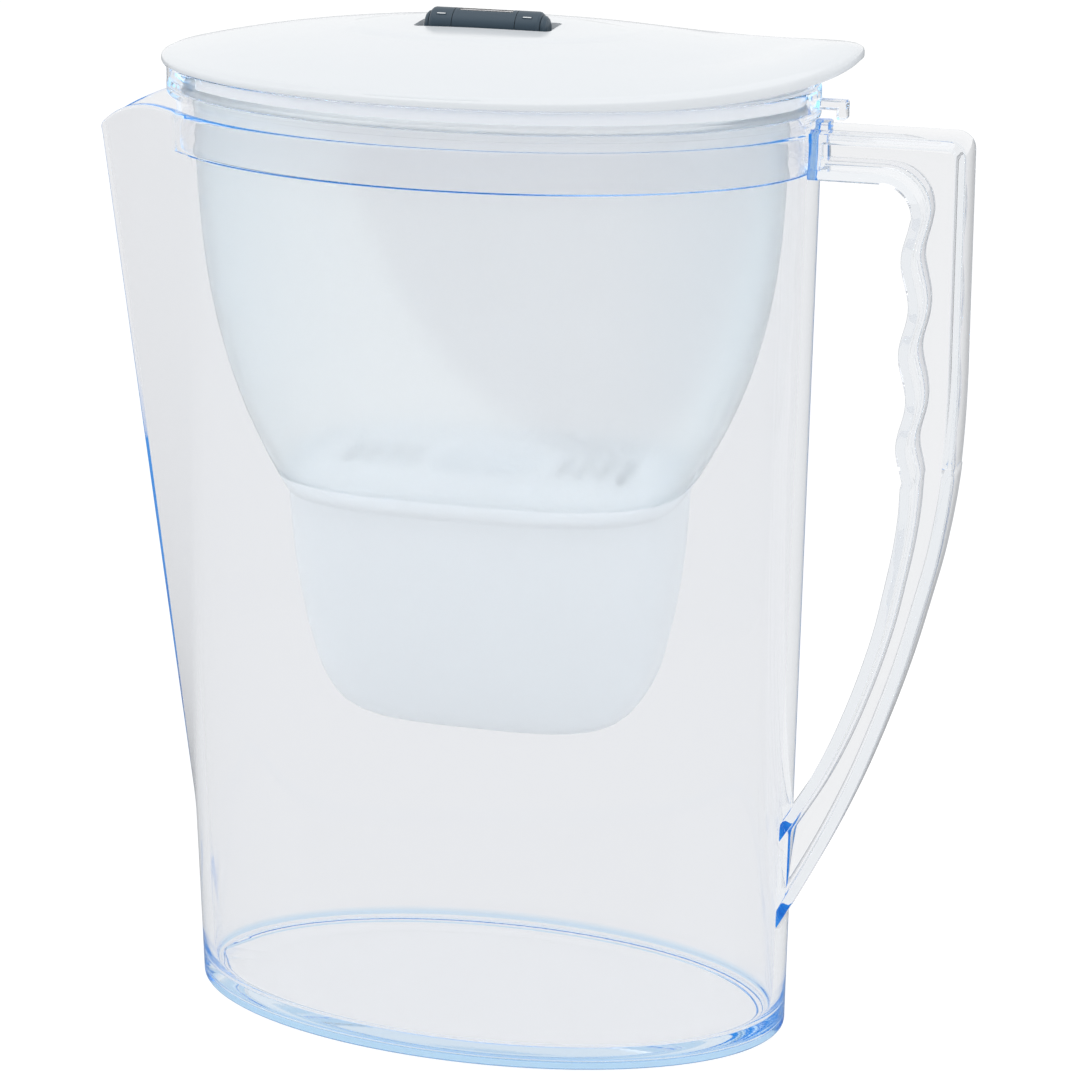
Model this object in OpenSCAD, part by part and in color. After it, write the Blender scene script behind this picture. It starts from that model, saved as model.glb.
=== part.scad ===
// Slim water filter pitcher: clear jug with a V spout and a bow handle, a
// lift-out hopper holding an oval filter cartridge, and a hinged white lid
// with a two-dial date indicator. Millimetres, +Z up, origin at the centre
// of the underside, spout towards -X and handle towards +X.

/* [Jug] */
// Height of the jug rim
rim_h = 248; // [200:1:300]
// Length of the oval at the base
base_len = 165; // [130:1:200]
// Width of the oval at the base
base_wid = 90.6; // [70:0.2:120]
// Length of the oval at the rim
rim_len = 175.2; // [140:0.2:210]
// Width of the oval at the rim
rim_wid = 100.8; // [80:0.2:130]
// Wall thickness
wall = 3.3; // [2:0.1:4.5]
// Height of the floor inside
floor_top = 5; // [3.5:0.1:8]
// Depth of the groove under the floor
groove_deep = 1.6; // [0.8:0.1:2.4]
// Width of the foot ring outside that groove
foot_ring = 4; // [2.5:0.1:6]
// Width of that groove
groove_w = 3; // [1.5:0.1:6]
// Bevel at the foot
foot_bevel = 1.6; // [0.5:0.1:2.5]
// Depth below the rim of the ledge that carries the hopper
seat_drop = 10.8; // [7:0.1:14]
// Wall left above that ledge
seat_wall = 2.2; // [1.6:0.1:2.8]

/* [Spout] */
// Distance from the axis to the spout tip, measured at rim height
tip_reach = 107.6; // [95:0.1:125]
// Height at which the spout leaves the wall
tip_start = 24; // [10:1:80]
// Radius of the outer edge of the V
tip_round = 1.5; // [0.8:0.1:3]
// Set-back of the inner edge of the V
tip_wall = 4.2; // [3:0.1:6]
// Radius of the dip in the lip of the spout
lip_radius = 41; // [30:1:80]
// Distance from the axis at which the lip starts to dip
lip_start = 80; // [70:1:95]

/* [Handle] */
// Distance from the axis to the back of the grip
grip_x = 126; // [115:0.5:140]
// Depth of the grip, front to back
grip_depth = 14.4; // [11:0.1:18]
// Width of the two flanges
flange_w = 15.4; // [11:0.1:20]
// Thickness of the two flanges
flange_t = 2.7; // [2:0.1:4]
// Thickness of the web between them
web_t = 3.2; // [2:0.1:5]
// Height of the top arm
arm_h = 12.1; // [9:0.1:16]
// Radius of the outer corner
corner_r = 4.6; // [3:0.1:9]
// Radius of the inner corner
inner_r = 8.3; // [5:0.1:11]
// Depth of each finger dip
dip = 1.1; // [0:0.1:2]
// Spacing of the finger dips
dip_pitch = 24.3; // [20:0.1:28]
// Length of the thickened root beyond the rim
root_len = 2; // [1:0.1:6]
// Height of the catch on top of the root
catch_h = 2.1; // [1:0.1:2.3]
// Length of that catch beyond the rim
catch_len = 3; // [1:0.1:4]
// Width of that catch
catch_w = 6; // [3:0.1:10]

/* [Hopper] */
// Shift of hopper and lid towards the handle
hop_dx = 1; // [-2:0.1:2]
// Set-back of the collar band from the rim, at the ends
band_in = 1.3; // [0.5:0.1:4]
// Set-back of the collar band from the rim, at the sides
band_in_side = 0.4; // [0:0.1:4]
// Gap between the rim and the band
band_gap = 2.4; // [2.4:0.1:5]
// Height of the band
band_h = 7.6; // [5:0.1:12]
// Wall of the collar
collar_t = 1.8; // [1.2:0.1:3]
// Set-back of the skirt from the band, at the ends
skirt_in = 2.4; // [2.3:0.1:4]
// Set-back of the skirt from the band, at the sides
skirt_in_side = 2.5; // [2.3:0.1:4]
// Thickness of the ledge under the band
ledge_t = 1.6; // [1:0.1:3]
// Width of the catch hook
hook_w = 5; // [3:0.1:8]
// Reach of the hook beyond the band
hook_reach = 7.4; // [5:0.1:9]
// Thickness of the hook plate
hook_t = 2.4; // [1.5:0.1:3]
// Set-back of the bowl from the band, at the ends
bowl_in = 8.3; // [6:0.1:14]
// Set-back of the bowl from the band, at the sides
bowl_in_side = 6; // [5:0.1:10]
// Wall of the bowl
bowl_wall = 1.6; // [1.2:0.1:2.5]
// Length of the neck below the bowl
neck_len = 105.6; // [95:0.2:120]
// Width of the neck below the bowl
neck_wid = 68.8; // [55:0.2:78]
// Depth of the neck below the rim
neck_drop = 99; // [80:1:120]
// Wall of the cartridge housing
cup_wall = 2.4; // [2:0.1:3.5]
// Height of the housing below the neck
cup_deep = 65; // [50:1:80]
// Diameter of the drip holes
drip_d = 5; // [3:0.1:7]

/* [Lid] */
// Overhang of the lid past the band, at the ends
lid_over = 0.8; // [0.3:0.1:2]
// Overhang of the lid past the band, at the sides
lid_over_side = 0.9; // [0.3:0.1:2]
// Thickness of the lid at its rim
lid_edge = 2.1; // [1.5:0.1:3]
// Thickness of the lid top
lid_t = 2; // [1.4:0.1:3]
// Rise of the lid top above its rim
lid_rise = 9.6; // [6:0.1:14]
// Reach of the thumb brim beyond the rim
brim_reach = 10.2; // [5:0.1:14]
// Rise of the thumb brim above the rim
brim_rise = 8.4; // [4:0.1:12]
// Depth of the locating skirt
lid_skirt = 3.9; // [2:0.1:4]
// Thickness of the locating skirt
lid_skirt_t = 1.6; // [1:0.1:2.5]
// Distance from the hinge pin to the start of that skirt
skirt_start = 15.7; // [12:0.1:30]

/* [Hinge] */
// Set-back of the hinge pin from the end of the band
hinge_in = 1.6; // [1.5:0.1:3]
// Height of the hinge pin below the underside of the lid
hinge_drop = 0.9; // [0.6:0.1:1.2]
// Diameter of the hinge pin
pin_d = 1.6; // [1.2:0.1:2]
// Radius of the lug round the pin
lug_r = 1.6; // [1.4:0.1:1.8]
// Distance from the middle to the inner face of a lug
lug_in = 5; // [4:0.1:6]
// Width of a lug
lug_w = 3; // [2:0.1:3.4]
// Half width of the notch in the band
notch = 13.8; // [12:0.1:16]

/* [Date indicator] */
// Centre of the indicator along X
dial_x = 0.85; // [-5:0.05:5]
// Height of the dial axis above the underside of the lid
dial_up = 10.7; // [9.5:0.1:13]
// Diameter of the barrel
dial_d = 9.4; // [7:0.1:11]
// Length of the middle housing
dial_mid = 16.6; // [12:0.1:22]
// Length of each knob
knob_len = 6.3; // [4:0.1:9]
// Length of each end cap
cap_len = 1.4; // [1:0.1:2.5]
// Set-back of the end caps from the face of the barrel
cap_in = 0.9; // [0.5:0.1:1.5]
// Diameter of the number drums
drum_d = 8.1; // [6:0.1:8.2]
// Diameter of the axle
axle_d = 1.9; // [1.4:0.1:2.5]
// Inside length of the tray
tray_len = 36.4; // [32:0.1:42]
// Inside width of the tray
tray_wid = 12.4; // [10:0.1:16]
// Depth of the tray below the dial axis
tray_deep = 5.2; // [4.8:0.1:6]
// Wall of the tray
tray_t = 1.4; // [1:0.1:2]
// Half width of the window
window_w = 1.5; // [1:0.1:2.5]
// Gap between turning faces, end to end
end_gap = 0.15; // [0.1:0.05:0.4]
// Gap round the number drums
drum_gap = 0.12; // [0.1:0.01:0.3]

/* [Cartridge] */
// Wall of the casing
case_t = 1.3; // [1:0.1:2]
// Gap between casing and housing
case_gap = 1; // [0.6:0.1:2]
// Gap between seal and housing
seal_gap = 0.3; // [0.2:0.05:0.5]
// Height of the sealing ring
seal_h = 3.2; // [2:0.1:5]
// Thickness of the flange that rests on the ledge
flange_h = 2; // [1.5:0.1:3]
// Rise of the cap above the flange
cap_h = 3; // [2.5:0.1:6]
// Depth of the top screen below the neck
bed_drop = 6; // [5.5:0.1:10]
// Length of the finger well in the cap
well_len = 30; // [24:0.5:34]
// Width of the finger well
well_wid = 20; // [14:0.5:24]
// Width of the pull bar across the well
pull_w = 3; // [2:0.1:5]
// Thickness of the pull bar
pull_t = 2; // [1.5:0.1:3]
// Thickness of the screens
screen_t = 0.6; // [0.4:0.1:1]

/* [Fits] */
// Radial play of a turning part on its pin or axle
run_fit = 0.05; // [0.02:0.01:0.1]
// Gap round a part that is pressed or clipped in place
snug = 0.05; // [0.02:0.01:0.1]

/* [Hidden] */
thin = 0.01;
seat_z = rim_h - seat_drop;
band_len = rim_len - 2 * band_in;
band_wid = rim_wid - 2 * band_in_side;
band_z = rim_h + band_gap;
skirt_len = band_len - 2 * skirt_in;
skirt_wid = band_wid - 2 * skirt_in_side;
bowl_len = band_len - 2 * bowl_in;
bowl_wid = band_wid - 2 * bowl_in_side;
neck_z = rim_h - neck_drop;
cup_z = neck_z - cup_deep;
lid_len = band_len + 2 * lid_over;
lid_wid = band_wid + 2 * lid_over_side;
lid_gap = 0.3;
lid_z = band_z + band_h + lid_gap;
lug_z = lid_z - hinge_drop;
pin_x = hop_dx + hinge_in - band_len / 2;
arm_z = rim_h + 0.3;
dial_z = lid_z + dial_up;
dial_r = dial_d / 2;
tray_z = dial_z - tray_deep;
tray_top = lid_z + lid_edge + lid_rise - 0.4;
cup_top = neck_z - 1.6;
clear_tint = [0.82, 0.9, 0.97, 0.35];
frost_tint = [0.8, 0.88, 0.95, 0.7];
white = [0.95, 0.96, 0.97];
slate = [0.24, 0.28, 0.33];

// ---- plan shapes -------------------------------------------------------

function sgn_pow(v, p) = sign(v) * pow(abs(v), p);
// closed oval of half sizes a and b; n = 2 is an ellipse, more is squarer
function oval_pts(a, b, n = 2, k = 64) =
    [for (i = [0:k - 1]) let (t = 360 * i / k)
        [a * sgn_pow(cos(t), 2 / n), b * sgn_pow(sin(t), 2 / n)]];
module oval(a, b, h, n = 2, k = 64) {
    linear_extrude(h) polygon(oval_pts(a, b, n, k));
}
// straight-sided elliptic plug
module true_oval(a, b, h) {
    oval(a, b, h, 2, 96);
}
// solid lofted through rings given as [a, b, n, z, shift]
module loft(rings, k = 48) {
    m = len(rings);
    pts = [for (r = rings) for (p = oval_pts(r[0], r[1], r[2], k))
        [p[0] + r[4], p[1], r[3]]];
    sides = [for (j = [0:m - 2]) for (i = [0:k - 1]) let (n = (i + 1) % k)
        [j * k + i, (j + 1) * k + i, (j + 1) * k + n, j * k + n]];
    low = [[for (i = [0:k - 1]) i]];
    top = [[for (i = [0:k - 1]) (m - 1) * k + (k - 1 - i)]];
    polyhedron(points = pts, faces = concat(low, sides, top), convexity = 6);
}

// ---- jug ---------------------------------------------------------------

// half sizes of the jug at height z, taken in by t
function jug_a(z, t = 0) = (base_len + (rim_len - base_len) * z / rim_h) / 2 - t;
function jug_b(z, t = 0) = (base_wid + (rim_wid - base_wid) * z / rim_h) / 2 - t;
module jug_slab(z, t = 0) {
    translate([0, 0, z]) oval(jug_a(z, t), jug_b(z, t), thin);
}
// slope of the V edge
tip_slope = (tip_reach - jug_a(tip_start)) / (rim_h - tip_start);
function tip_x(z) = tip_reach - tip_slope * (rim_h - z);
in_tip = tip_reach - tip_wall;
in_slope = tip_slope;
in_start = tip_start + (tip_wall - wall) / (in_slope - (rim_len - base_len) / 2 / rim_h);

module jug_outer() {
    hull() {
        jug_slab(0, foot_bevel);
        jug_slab(foot_bevel);
        jug_slab(tip_start);
    }
    hull() {
        jug_slab(tip_start);
        jug_slab(rim_h - thin);
        translate([tip_round - tip_reach, 0, rim_h - thin])
            cylinder(r = tip_round, h = thin, $fn = 24);
    }
}
module jug_inner() {
    hull() {
        jug_slab(floor_top, wall + 1.5);
        jug_slab(floor_top + 1.5, wall);
        jug_slab(in_start, wall);
    }
    hull() {
        jug_slab(in_start, wall);
        jug_slab(rim_h + 1, wall);
        translate([0.3 - in_tip, 0, rim_h + 1]) cylinder(r = 0.3, h = thin, $fn = 16);
    }
}
module jug_body() color(clear_tint) difference() {
    jug_outer();
    jug_inner();
    // rebate that leaves the seat for the hopper skirt
    translate([0, 0, seat_z])
        oval(jug_a(seat_z, seat_wall), jug_b(seat_z, seat_wall), seat_drop + 2);
    // groove inside the foot ring
    difference() {
        translate([0, 0, -1])
            oval(jug_a(0, foot_ring), jug_b(0, foot_ring), groove_deep + 1);
        translate([0, 0, -2]) oval(jug_a(0, foot_ring + groove_w),
            jug_b(0, foot_ring + groove_w), groove_deep + 4);
    }
    // curved dip of the pouring lip
    difference() {
        translate([-2 * tip_reach, -rim_wid, rim_h - lip_radius / 2])
            cube([2 * tip_reach - lip_start, 2 * rim_wid, lip_radius]);
        translate([-lip_start, 0, rim_h - lip_radius]) rotate([90, 0, 0])
            cylinder(r = lip_radius, h = 3 * rim_wid, center = true, $fn = 160);
    }
}

// ---- handle ------------------------------------------------------------

// smooth curve through the points p
function bend(p, s = 5) = concat([for (i = [1:len(p) - 3]) for (j = [0:s - 1])
    let (t = j / s, a = p[i - 1], b = p[i], c = p[i + 1], d = p[i + 2])
    0.5 * (2 * b + (c - a) * t + (2 * a - 5 * b + 4 * c - d) * t * t
        + (3 * b - a - 3 * c + d) * t * t * t)], [p[len(p) - 2]]);
function arc(x, z, r, a0, a1, s = 8) =
    [for (i = [0:s]) let (t = a0 + (a1 - a0) * i / s) [x + r * cos(t), z + r * sin(t)]];
// path moved sideways by d
function beside(p, d) = [for (i = [0:len(p) - 1])
    let (a = p[max(i - 1, 0)], b = p[min(i + 1, len(p) - 1)], v = b - a, l = norm(v))
    p[i] + d / l * [v[1], -v[0]]];
function turned(p) = [for (i = [len(p) - 1:-1:0]) p[i]];

// the bow below the grip: [set-back as a share of the reach, height as a share of the rim]
back_pts = [[0, 0.8468], [0, 0.75], [0.0056, 0.6573], [0.0294, 0.5685], [0.0611, 0.5],
            [0.0968, 0.4323], [0.1413, 0.3629], [0.1944, 0.2911], [0.2595, 0.2177],
            [0.3429, 0.1363], [0.381, 0.1048]];
front_pts = [[-0.0048, 0.7056], [-0.0016, 0.6331], [0.0008, 0.6048], [0.0095, 0.5685],
             [0.0254, 0.5258], [0.0437, 0.481], [0.069, 0.4355], [0.1, 0.3891],
             [0.1365, 0.3423], [0.181, 0.296], [0.2421, 0.244], [0.2857, 0.2097]];
function bow(pts, x) = bend([for (p = pts) [x - grip_x * p[0], rim_h * p[1]]]);
grip_in = grip_x - grip_depth;
root_x = 0.91 * rim_len / 2;
back_path = concat([[root_x, arm_z]],
    arc(grip_x - corner_r, arm_z - corner_r, corner_r, 90, 0),
    bow(back_pts, grip_x));
dip_z = arm_z - arm_h - 0.29 * dip_pitch;
front_path = concat([[root_x, arm_z - arm_h]],
    arc(grip_in + dip - inner_r, arm_z - arm_h - inner_r, inner_r, 90, 0),
    [for (i = [2:60]) let (z = dip_z - 0.087 * dip_pitch * i) if (z > rim_h * (front_pts[1][1] + 0.004))
        [grip_in - 0.1 + dip * cos(360 * (z - dip_z) / dip_pitch), z]],
    bow(front_pts, grip_in));

module upright(p, w) {
    rotate([90, 0, 0]) linear_extrude(w, center = true) polygon(p);
}
module handle() color(clear_tint) difference() {
    union() {
        upright(concat(back_path, turned(front_path)), web_t);
        upright(concat(back_path, turned(beside(back_path, flange_t))), flange_w);
        upright(concat(front_path, turned(beside(front_path, -flange_t))), flange_w);
        translate([root_x, -flange_w / 2, arm_z - arm_h])
            cube([rim_len / 2 - root_x + root_len, flange_w, arm_h]);
        translate([root_x, -catch_w / 2, arm_z - 1])
            cube([rim_len / 2 - root_x + catch_len, catch_w, catch_h + 1]);
    }
    jug_outer();
    // nothing over the rim
    translate([0, 0, rim_h - 1])
        oval(jug_a(rim_h), jug_b(rim_h), catch_h + 4);
}

// ---- hopper ------------------------------------------------------------

module hopper_collar() color(clear_tint) difference() {
    translate([hop_dx, 0, 0]) union() {
        // band and ledge
        difference() {
            translate([0, 0, band_z]) true_oval(band_len / 2, band_wid / 2, band_h);
            translate([0, 0, band_z + ledge_t]) true_oval(
                band_len / 2 - collar_t, band_wid / 2 - collar_t, band_h);
            translate([0, 0, band_z - 1]) true_oval(
                skirt_len / 2 - collar_t, skirt_wid / 2 - collar_t, band_h);
        }
        // skirt
        difference() {
            translate([0, 0, seat_z])
                true_oval(skirt_len / 2, skirt_wid / 2, band_z - seat_z + ledge_t);
            translate([0, 0, seat_z - 1]) true_oval(
                skirt_len / 2 - collar_t, skirt_wid / 2 - collar_t, band_h + seat_drop);
        }
        // catch hook
        intersection() {
            translate([band_len / 2 - 1, -hook_w / 2, band_z])
                cube([hook_reach + 1, hook_w, band_h]);
            union() {
                translate([band_len / 2 - 1, -hook_w / 2, band_z + 2.6])
                    cube([hook_reach, hook_w, hook_t]);
                translate([band_len / 2 + hook_reach - 2.8, -hook_w / 2, band_z + 0.2])
                    cube([2.8, hook_w, hook_t + 2.2]);
            }
        }
    }
    // notch for the lid edge at the hinge
    translate([pin_x - 6, -notch, band_z + 3])
        cube([12, 2 * notch, band_h]);
}
// one hinge lug, seated on the ledge
module lug(y) {
    translate([pin_x, y, lug_z]) rotate([-90, 0, 0]) cylinder(r = lug_r, h = lug_w, $fn = 48);
    translate([pin_x, y, band_z + ledge_t])
        cube([3, lug_w, lug_z - band_z - ledge_t + 0.6]);
}
module pin_bore(r, y, l) {
    translate([pin_x, y, lug_z]) rotate([-90, 0, 0]) cylinder(r = r, h = l, $fn = 48);
}

// bowl outline: t runs from the neck to the top
function bowl_ring(t, w) = let (f = 1 - pow(1 - t, 2.7), g = 1 - pow(1 - t, 2.4))
    [(neck_len + (bowl_len - neck_len) * f) / 2 - w,
     (neck_wid + (bowl_wid - neck_wid) * g) / 2 - w,
     2.1 + 1.1 * pow(1 - t, 2), neck_z + (band_z + ledge_t - neck_z) * t, hop_dx];
// housing outline: share of the neck size against depth below the neck
cup_shape = [[0.985, 0.98, 0], [0.962, 0.952, 0.28], [0.91, 0.892, 0.57],
             [0.868, 0.835, 0.72], [0.82, 0.765, 0.835], [0.755, 0.675, 0.92],
             [0.66, 0.545, 0.975], [0.53, 0.38, 1]];
function cup_ring(i, w) = let (s = cup_shape[i], f = (cup_top - cup_z - w) / (cup_top - cup_z))
    [neck_len / 2 * s[0] - w, neck_wid / 2 * s[1] - w, 3.1,
     cup_top - (cup_top - cup_z) * s[2] * f, hop_dx];
function cup_rings(w) = [for (i = [len(cup_shape) - 1:-1:0]) cup_ring(i, w)];
function raised(r, z) = [r[0], r[1], r[2], z, r[4]];
bowl_steps = [0, 0.07, 0.14, 0.22, 0.31, 0.42, 0.55, 0.7, 0.85, 1];

module hopper_bowl() color(frost_tint) difference() {
    union() {
        loft([for (t = bowl_steps) bowl_ring(t, 0)]);
        translate([hop_dx, 0, band_z + ledge_t])
            oval(band_len / 2 - collar_t - 0.4, band_wid / 2 - collar_t - 0.4, bowl_wall);
    }
    loft(concat([raised(bowl_ring(0, bowl_wall), neck_z - 1)],
        [for (t = bowl_steps) bowl_ring(t, bowl_wall)],
        [raised(bowl_ring(1, bowl_wall), band_z + ledge_t + bowl_wall + 1)]));
    // clear of the hinge lugs
    translate([pin_x - 6, -notch, band_z + ledge_t - 1]) cube([10, 2 * notch, 6]);
}
module cartridge_cup() color(frost_tint) difference() {
    loft(concat(cup_rings(0), [bowl_ring(0, 0)]));
    loft(concat(cup_rings(cup_wall), [raised(cup_ring(0, cup_wall), neck_z + 1)]));
    for (i = [-2:2]) translate([hop_dx + i * 9, 0, cup_z - 1])
        cylinder(d = drip_d, h = cup_wall + 3, $fn = 32);
}

module hinge_pin() color(white)
    pin_bore(pin_d / 2, -lug_in - lug_w, 2 * (lug_in + lug_w));

// ---- lid ---------------------------------------------------------------

lid_k = 72;
lid_steps = [0.12, 0.25, 0.38, 0.5, 0.62, 0.72, 0.8, 0.87, 0.93, 0.97, 1];
function half_turn(i) = let (t = 360 * i / lid_k) t > 180 ? t - 360 : t;
function flare(t, w, p) = exp(-pow(abs(t) / w, p));
// outline point of the lid at share u, angle number i
function lid_xy(i, u) = let (t = half_turn(i), a = lid_len / 2, b = lid_wid / 2,
    v = [cos(t) / a, sin(t) / b], d = brim_reach * flare(t, 35.5, 2.2),
    e = [a * cos(t), b * sin(t)] + d * v / norm(v)) [hop_dx - 0.4 + u * e[0], u * e[1]];
function ease(s) = let (c = max(0, min(1, s))) c * c * (3 - 2 * c);
function lid_top(i, u) = let (t = half_turn(i), q = 2.65 + 0.35 * cos(t))
    lid_z + lid_edge + lid_rise * (1 - pow(u, q))
        + brim_rise * flare(t, 31.5, 1.5) * ease((u - 0.7) / 0.3);
function lid_low(i, u) = let (top = lid_top(i, u))
    max(u > 0.92 ? lid_z : lid_z + 0.2, top - lid_t - (u > 0.92 ? 1.2 : 0));
module lid_solid() {
    m = len(lid_steps);
    tops = [for (u = lid_steps) for (i = [0:lid_k - 1])
        let (p = lid_xy(i, u)) [p[0], p[1], lid_top(i, u)]];
    lows = [for (u = lid_steps) for (i = [0:lid_k - 1])
        let (p = lid_xy(i, u)) [p[0], p[1], lid_low(i, u)]];
    n = m * lid_k;
    up = [for (j = [0:m - 2]) for (i = [0:lid_k - 1]) let (k = (i + 1) % lid_k)
        each [[j * lid_k + i, (j + 1) * lid_k + i, (j + 1) * lid_k + k],
              [j * lid_k + i, (j + 1) * lid_k + k, j * lid_k + k]]];
    down = [for (f = up) [n + f[2], n + f[1], n + f[0]]];
    hub = [for (i = [0:lid_k - 1]) let (k = (i + 1) % lid_k)
        each [[2 * n, i, k], [2 * n + 1, n + k, n + i]]];
    edge = [for (i = [0:lid_k - 1]) let (k = (i + 1) % lid_k, q = (m - 1) * lid_k)
        each [[q + i, n + q + i, n + q + k], [q + i, n + q + k, q + k]]];
    mid = lid_xy(0, 0);
    faces = concat(up, down, hub, edge);
    polyhedron(points = concat(tops, lows, [[mid[0], mid[1], lid_top(0, 0)]],
        [[mid[0], mid[1], lid_top(0, 0) - lid_t]]),
        faces = [for (f = faces) [f[0], f[2], f[1]]], convexity = 6);
}
module lid_shell() color(white) difference() {
    lid_solid();
    translate([dial_x - tray_len / 2 - tray_t - snug, -tray_wid / 2 - tray_t - snug, tray_z - 4])
        cube([tray_len + 2 * tray_t + 2 * snug, tray_wid + 2 * tray_t + 2 * snug, 20]);
    // clearance for the hinge lugs and knuckle
    pin_bore(lug_r + 0.4, -lug_in - lug_w - 0.4, 2 * (lug_in + lug_w + 0.4));
}

frame_a = band_len / 2 - collar_t - 0.5;
frame_b = band_wid / 2 - collar_t - 0.5;
frame_z = lid_z - lid_skirt;
plate_t = 1.4;
module lid_frame() color(white) difference() {
    union() {
        difference() {
            translate([hop_dx, 0, frame_z]) true_oval(frame_a, frame_b, lid_skirt);
            translate([hop_dx, 0, frame_z - 1])
                true_oval(frame_a - lid_skirt_t, frame_b - lid_skirt_t, lid_skirt + 2);
            translate([pin_x - rim_wid, -rim_wid, frame_z - 1])
                cube([rim_wid + skirt_start, 2 * rim_wid, lid_skirt + 2]);
        }
        // cross plate behind the hinge
        intersection() {
            translate([hop_dx, 0, lid_z - plate_t]) true_oval(frame_a - 1, frame_b - 1, plate_t);
            translate([pin_x + skirt_start - 6, -rim_wid, lid_z - plate_t])
                cube([8, 2 * rim_wid, plate_t]);
        }
        // hinge arm and knuckle
        translate([pin_x, -lug_in + 0.4, lid_z - plate_t])
            cube([skirt_start - 4, 2 * lug_in - 0.8, plate_t]);
        pin_bore(lug_r - 0.1, -lug_in + 0.4, 2 * lug_in - 0.8);
    }
    pin_bore(pin_d / 2 + run_fit, -lug_in, 2 * lug_in);
}

// ---- date indicator ----------------------------------------------------

module along(x0, l, r, f = 64) {
    translate([dial_x + x0, 0, dial_z]) rotate([0, 90, 0]) cylinder(r = r, h = l, $fn = f);
}
half_mid = dial_mid / 2;
wall_mid = 0.8;
tube_r = drum_d / 2 + drum_gap;
hub_r = 2.2;
hub_l = 2;
bar_turn = 40;
end_r = dial_r - cap_in;

module indicator_tray() color(white) difference() {
    translate([dial_x - tray_len / 2 - tray_t, -tray_wid / 2 - tray_t, tray_z - tray_t])
        cube([tray_len + 2 * tray_t, tray_wid + 2 * tray_t, tray_top - tray_z + tray_t]);
    translate([dial_x - tray_len / 2, -tray_wid / 2, tray_z])
        cube([tray_len, tray_wid, 20]);
}
module indicator_housing() color(slate) difference() {
    union() {
        along(-half_mid, dial_mid, dial_r);
        translate([dial_x - half_mid, -2.4, tray_z])
            cube([dial_mid, 4.8, 3]);
    }
    along(-half_mid - 1, half_mid + 1 - wall_mid / 2, tube_r);
    along(wall_mid / 2, half_mid + 1, tube_r);
    along(-half_mid, dial_mid, axle_d / 2);
    translate([dial_x - half_mid + 1.2, -window_w, dial_z]) cube([dial_mid - 2.4, 2 * window_w, 10]);
}
module indicator_window() color(clear_tint) intersection() {
    difference() {
        along(-half_mid + 1.2 + snug, dial_mid - 2.4 - 2 * snug, dial_r - 0.1);
        along(-half_mid, dial_mid, tube_r + 0.1);
    }
    translate([dial_x - half_mid, -window_w + snug, dial_z]) cube([dial_mid, 2 * (window_w - snug), 10]);
}
// knob and drum of one dial, drawn for the right-hand side
knob_x = half_mid + end_gap;
module knob() color(slate) difference() {
    union() {
        translate([dial_x + knob_x, 0, dial_z]) rotate([0, 90, 0])
            rotate_extrude($fn = 64) polygon([[0, 0], [dial_r, 0], [dial_r, knob_len - 1.1],
                [dial_r - 0.12, knob_len - 0.6], [dial_r - 0.45, knob_len - 0.2],
                [dial_r - 0.9, knob_len], [0, knob_len]]);
        // raised index bar
        translate([dial_x + knob_x + 1.7, 0, dial_z]) rotate([bar_turn, 0, 0])
            translate([0, -0.3, dial_r - 0.9]) cube([2.5, 0.6, 1.05]);
    }
    along(knob_x - 1, hub_l + 1, hub_r);
    along(knob_x - 1, knob_len + 2, axle_d / 2 + run_fit);
}
module drum() color(slate) difference() {
    union() {
        along(wall_mid / 2 + end_gap, half_mid - wall_mid / 2 - end_gap, drum_d / 2);
        along(half_mid - 0.5, hub_l + end_gap + 0.5, hub_r);
    }
    along(-1, 20, axle_d / 2 + run_fit);
}
module end_cap() color(slate) difference() {
    translate([dial_x + knob_x + knob_len + end_gap, 0, dial_z]) rotate([0, 90, 0])
        rotate_extrude($fn = 64) polygon([[0, 0], [end_r, 0], [end_r - 0.15, 0.4 * cap_len],
            [end_r - 0.7, 0.8 * cap_len], [end_r - 1.6, cap_len], [0, cap_len]]);
    along(knob_x + knob_len, end_gap + cap_len - 0.5, axle_d / 2);
}
module other_side() {
    translate([2 * dial_x, 0, 0]) mirror([1, 0, 0]) children();
}
module left_knob() other_side() knob();
module left_drum() other_side() drum();
module left_end_cap() other_side() end_cap();
module right_knob() knob();
module right_drum() drum();
module right_end_cap() end_cap();
axle_l = knob_x + knob_len + end_gap + cap_len - 0.5;
module indicator_axle() color(slate) along(-axle_l, 2 * axle_l, axle_d / 2);

// ---- cartridge ---------------------------------------------------------

case_out = cup_wall + case_gap;
case_in = case_out + case_t;
seal_out = cup_wall + seal_gap;
flange_z = neck_z;
case_low = cup_ring(7, case_out);
function rings_up_to(w, z) = [for (r = cup_rings(w)) if (r[3] < z) r];

module cartridge_casing() color(white) difference() {
    union() {
        loft(concat(cup_rings(case_out), [raised(cup_ring(0, case_out), flange_z)]));
        translate([0, 0, flange_z]) loft([raised(bowl_ring(0, bowl_wall + 0.5), 0),
            raised(bowl_ring(0, bowl_wall + 0.5), flange_h)]);
    }
    loft(concat(cup_rings(case_in), [raised(cup_ring(0, case_in), flange_z + flange_h + 1)]));
    for (x = [-2:2]) translate([hop_dx + x * 9 - 1, -7, cup_z]) cube([2, 14, 9]);
}
module cartridge_seal() color([0.75, 0.8, 0.85]) difference() {
    loft([raised(cup_ring(0, seal_out + 0.3), cup_top - seal_h),
        raised(cup_ring(0, seal_out), cup_top)]);
    loft(concat(cup_rings(case_out), [raised(cup_ring(0, case_out), cup_top + 1)]));
}
cap_z = flange_z + flange_h;
cap_top = cap_z + cap_h;
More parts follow.
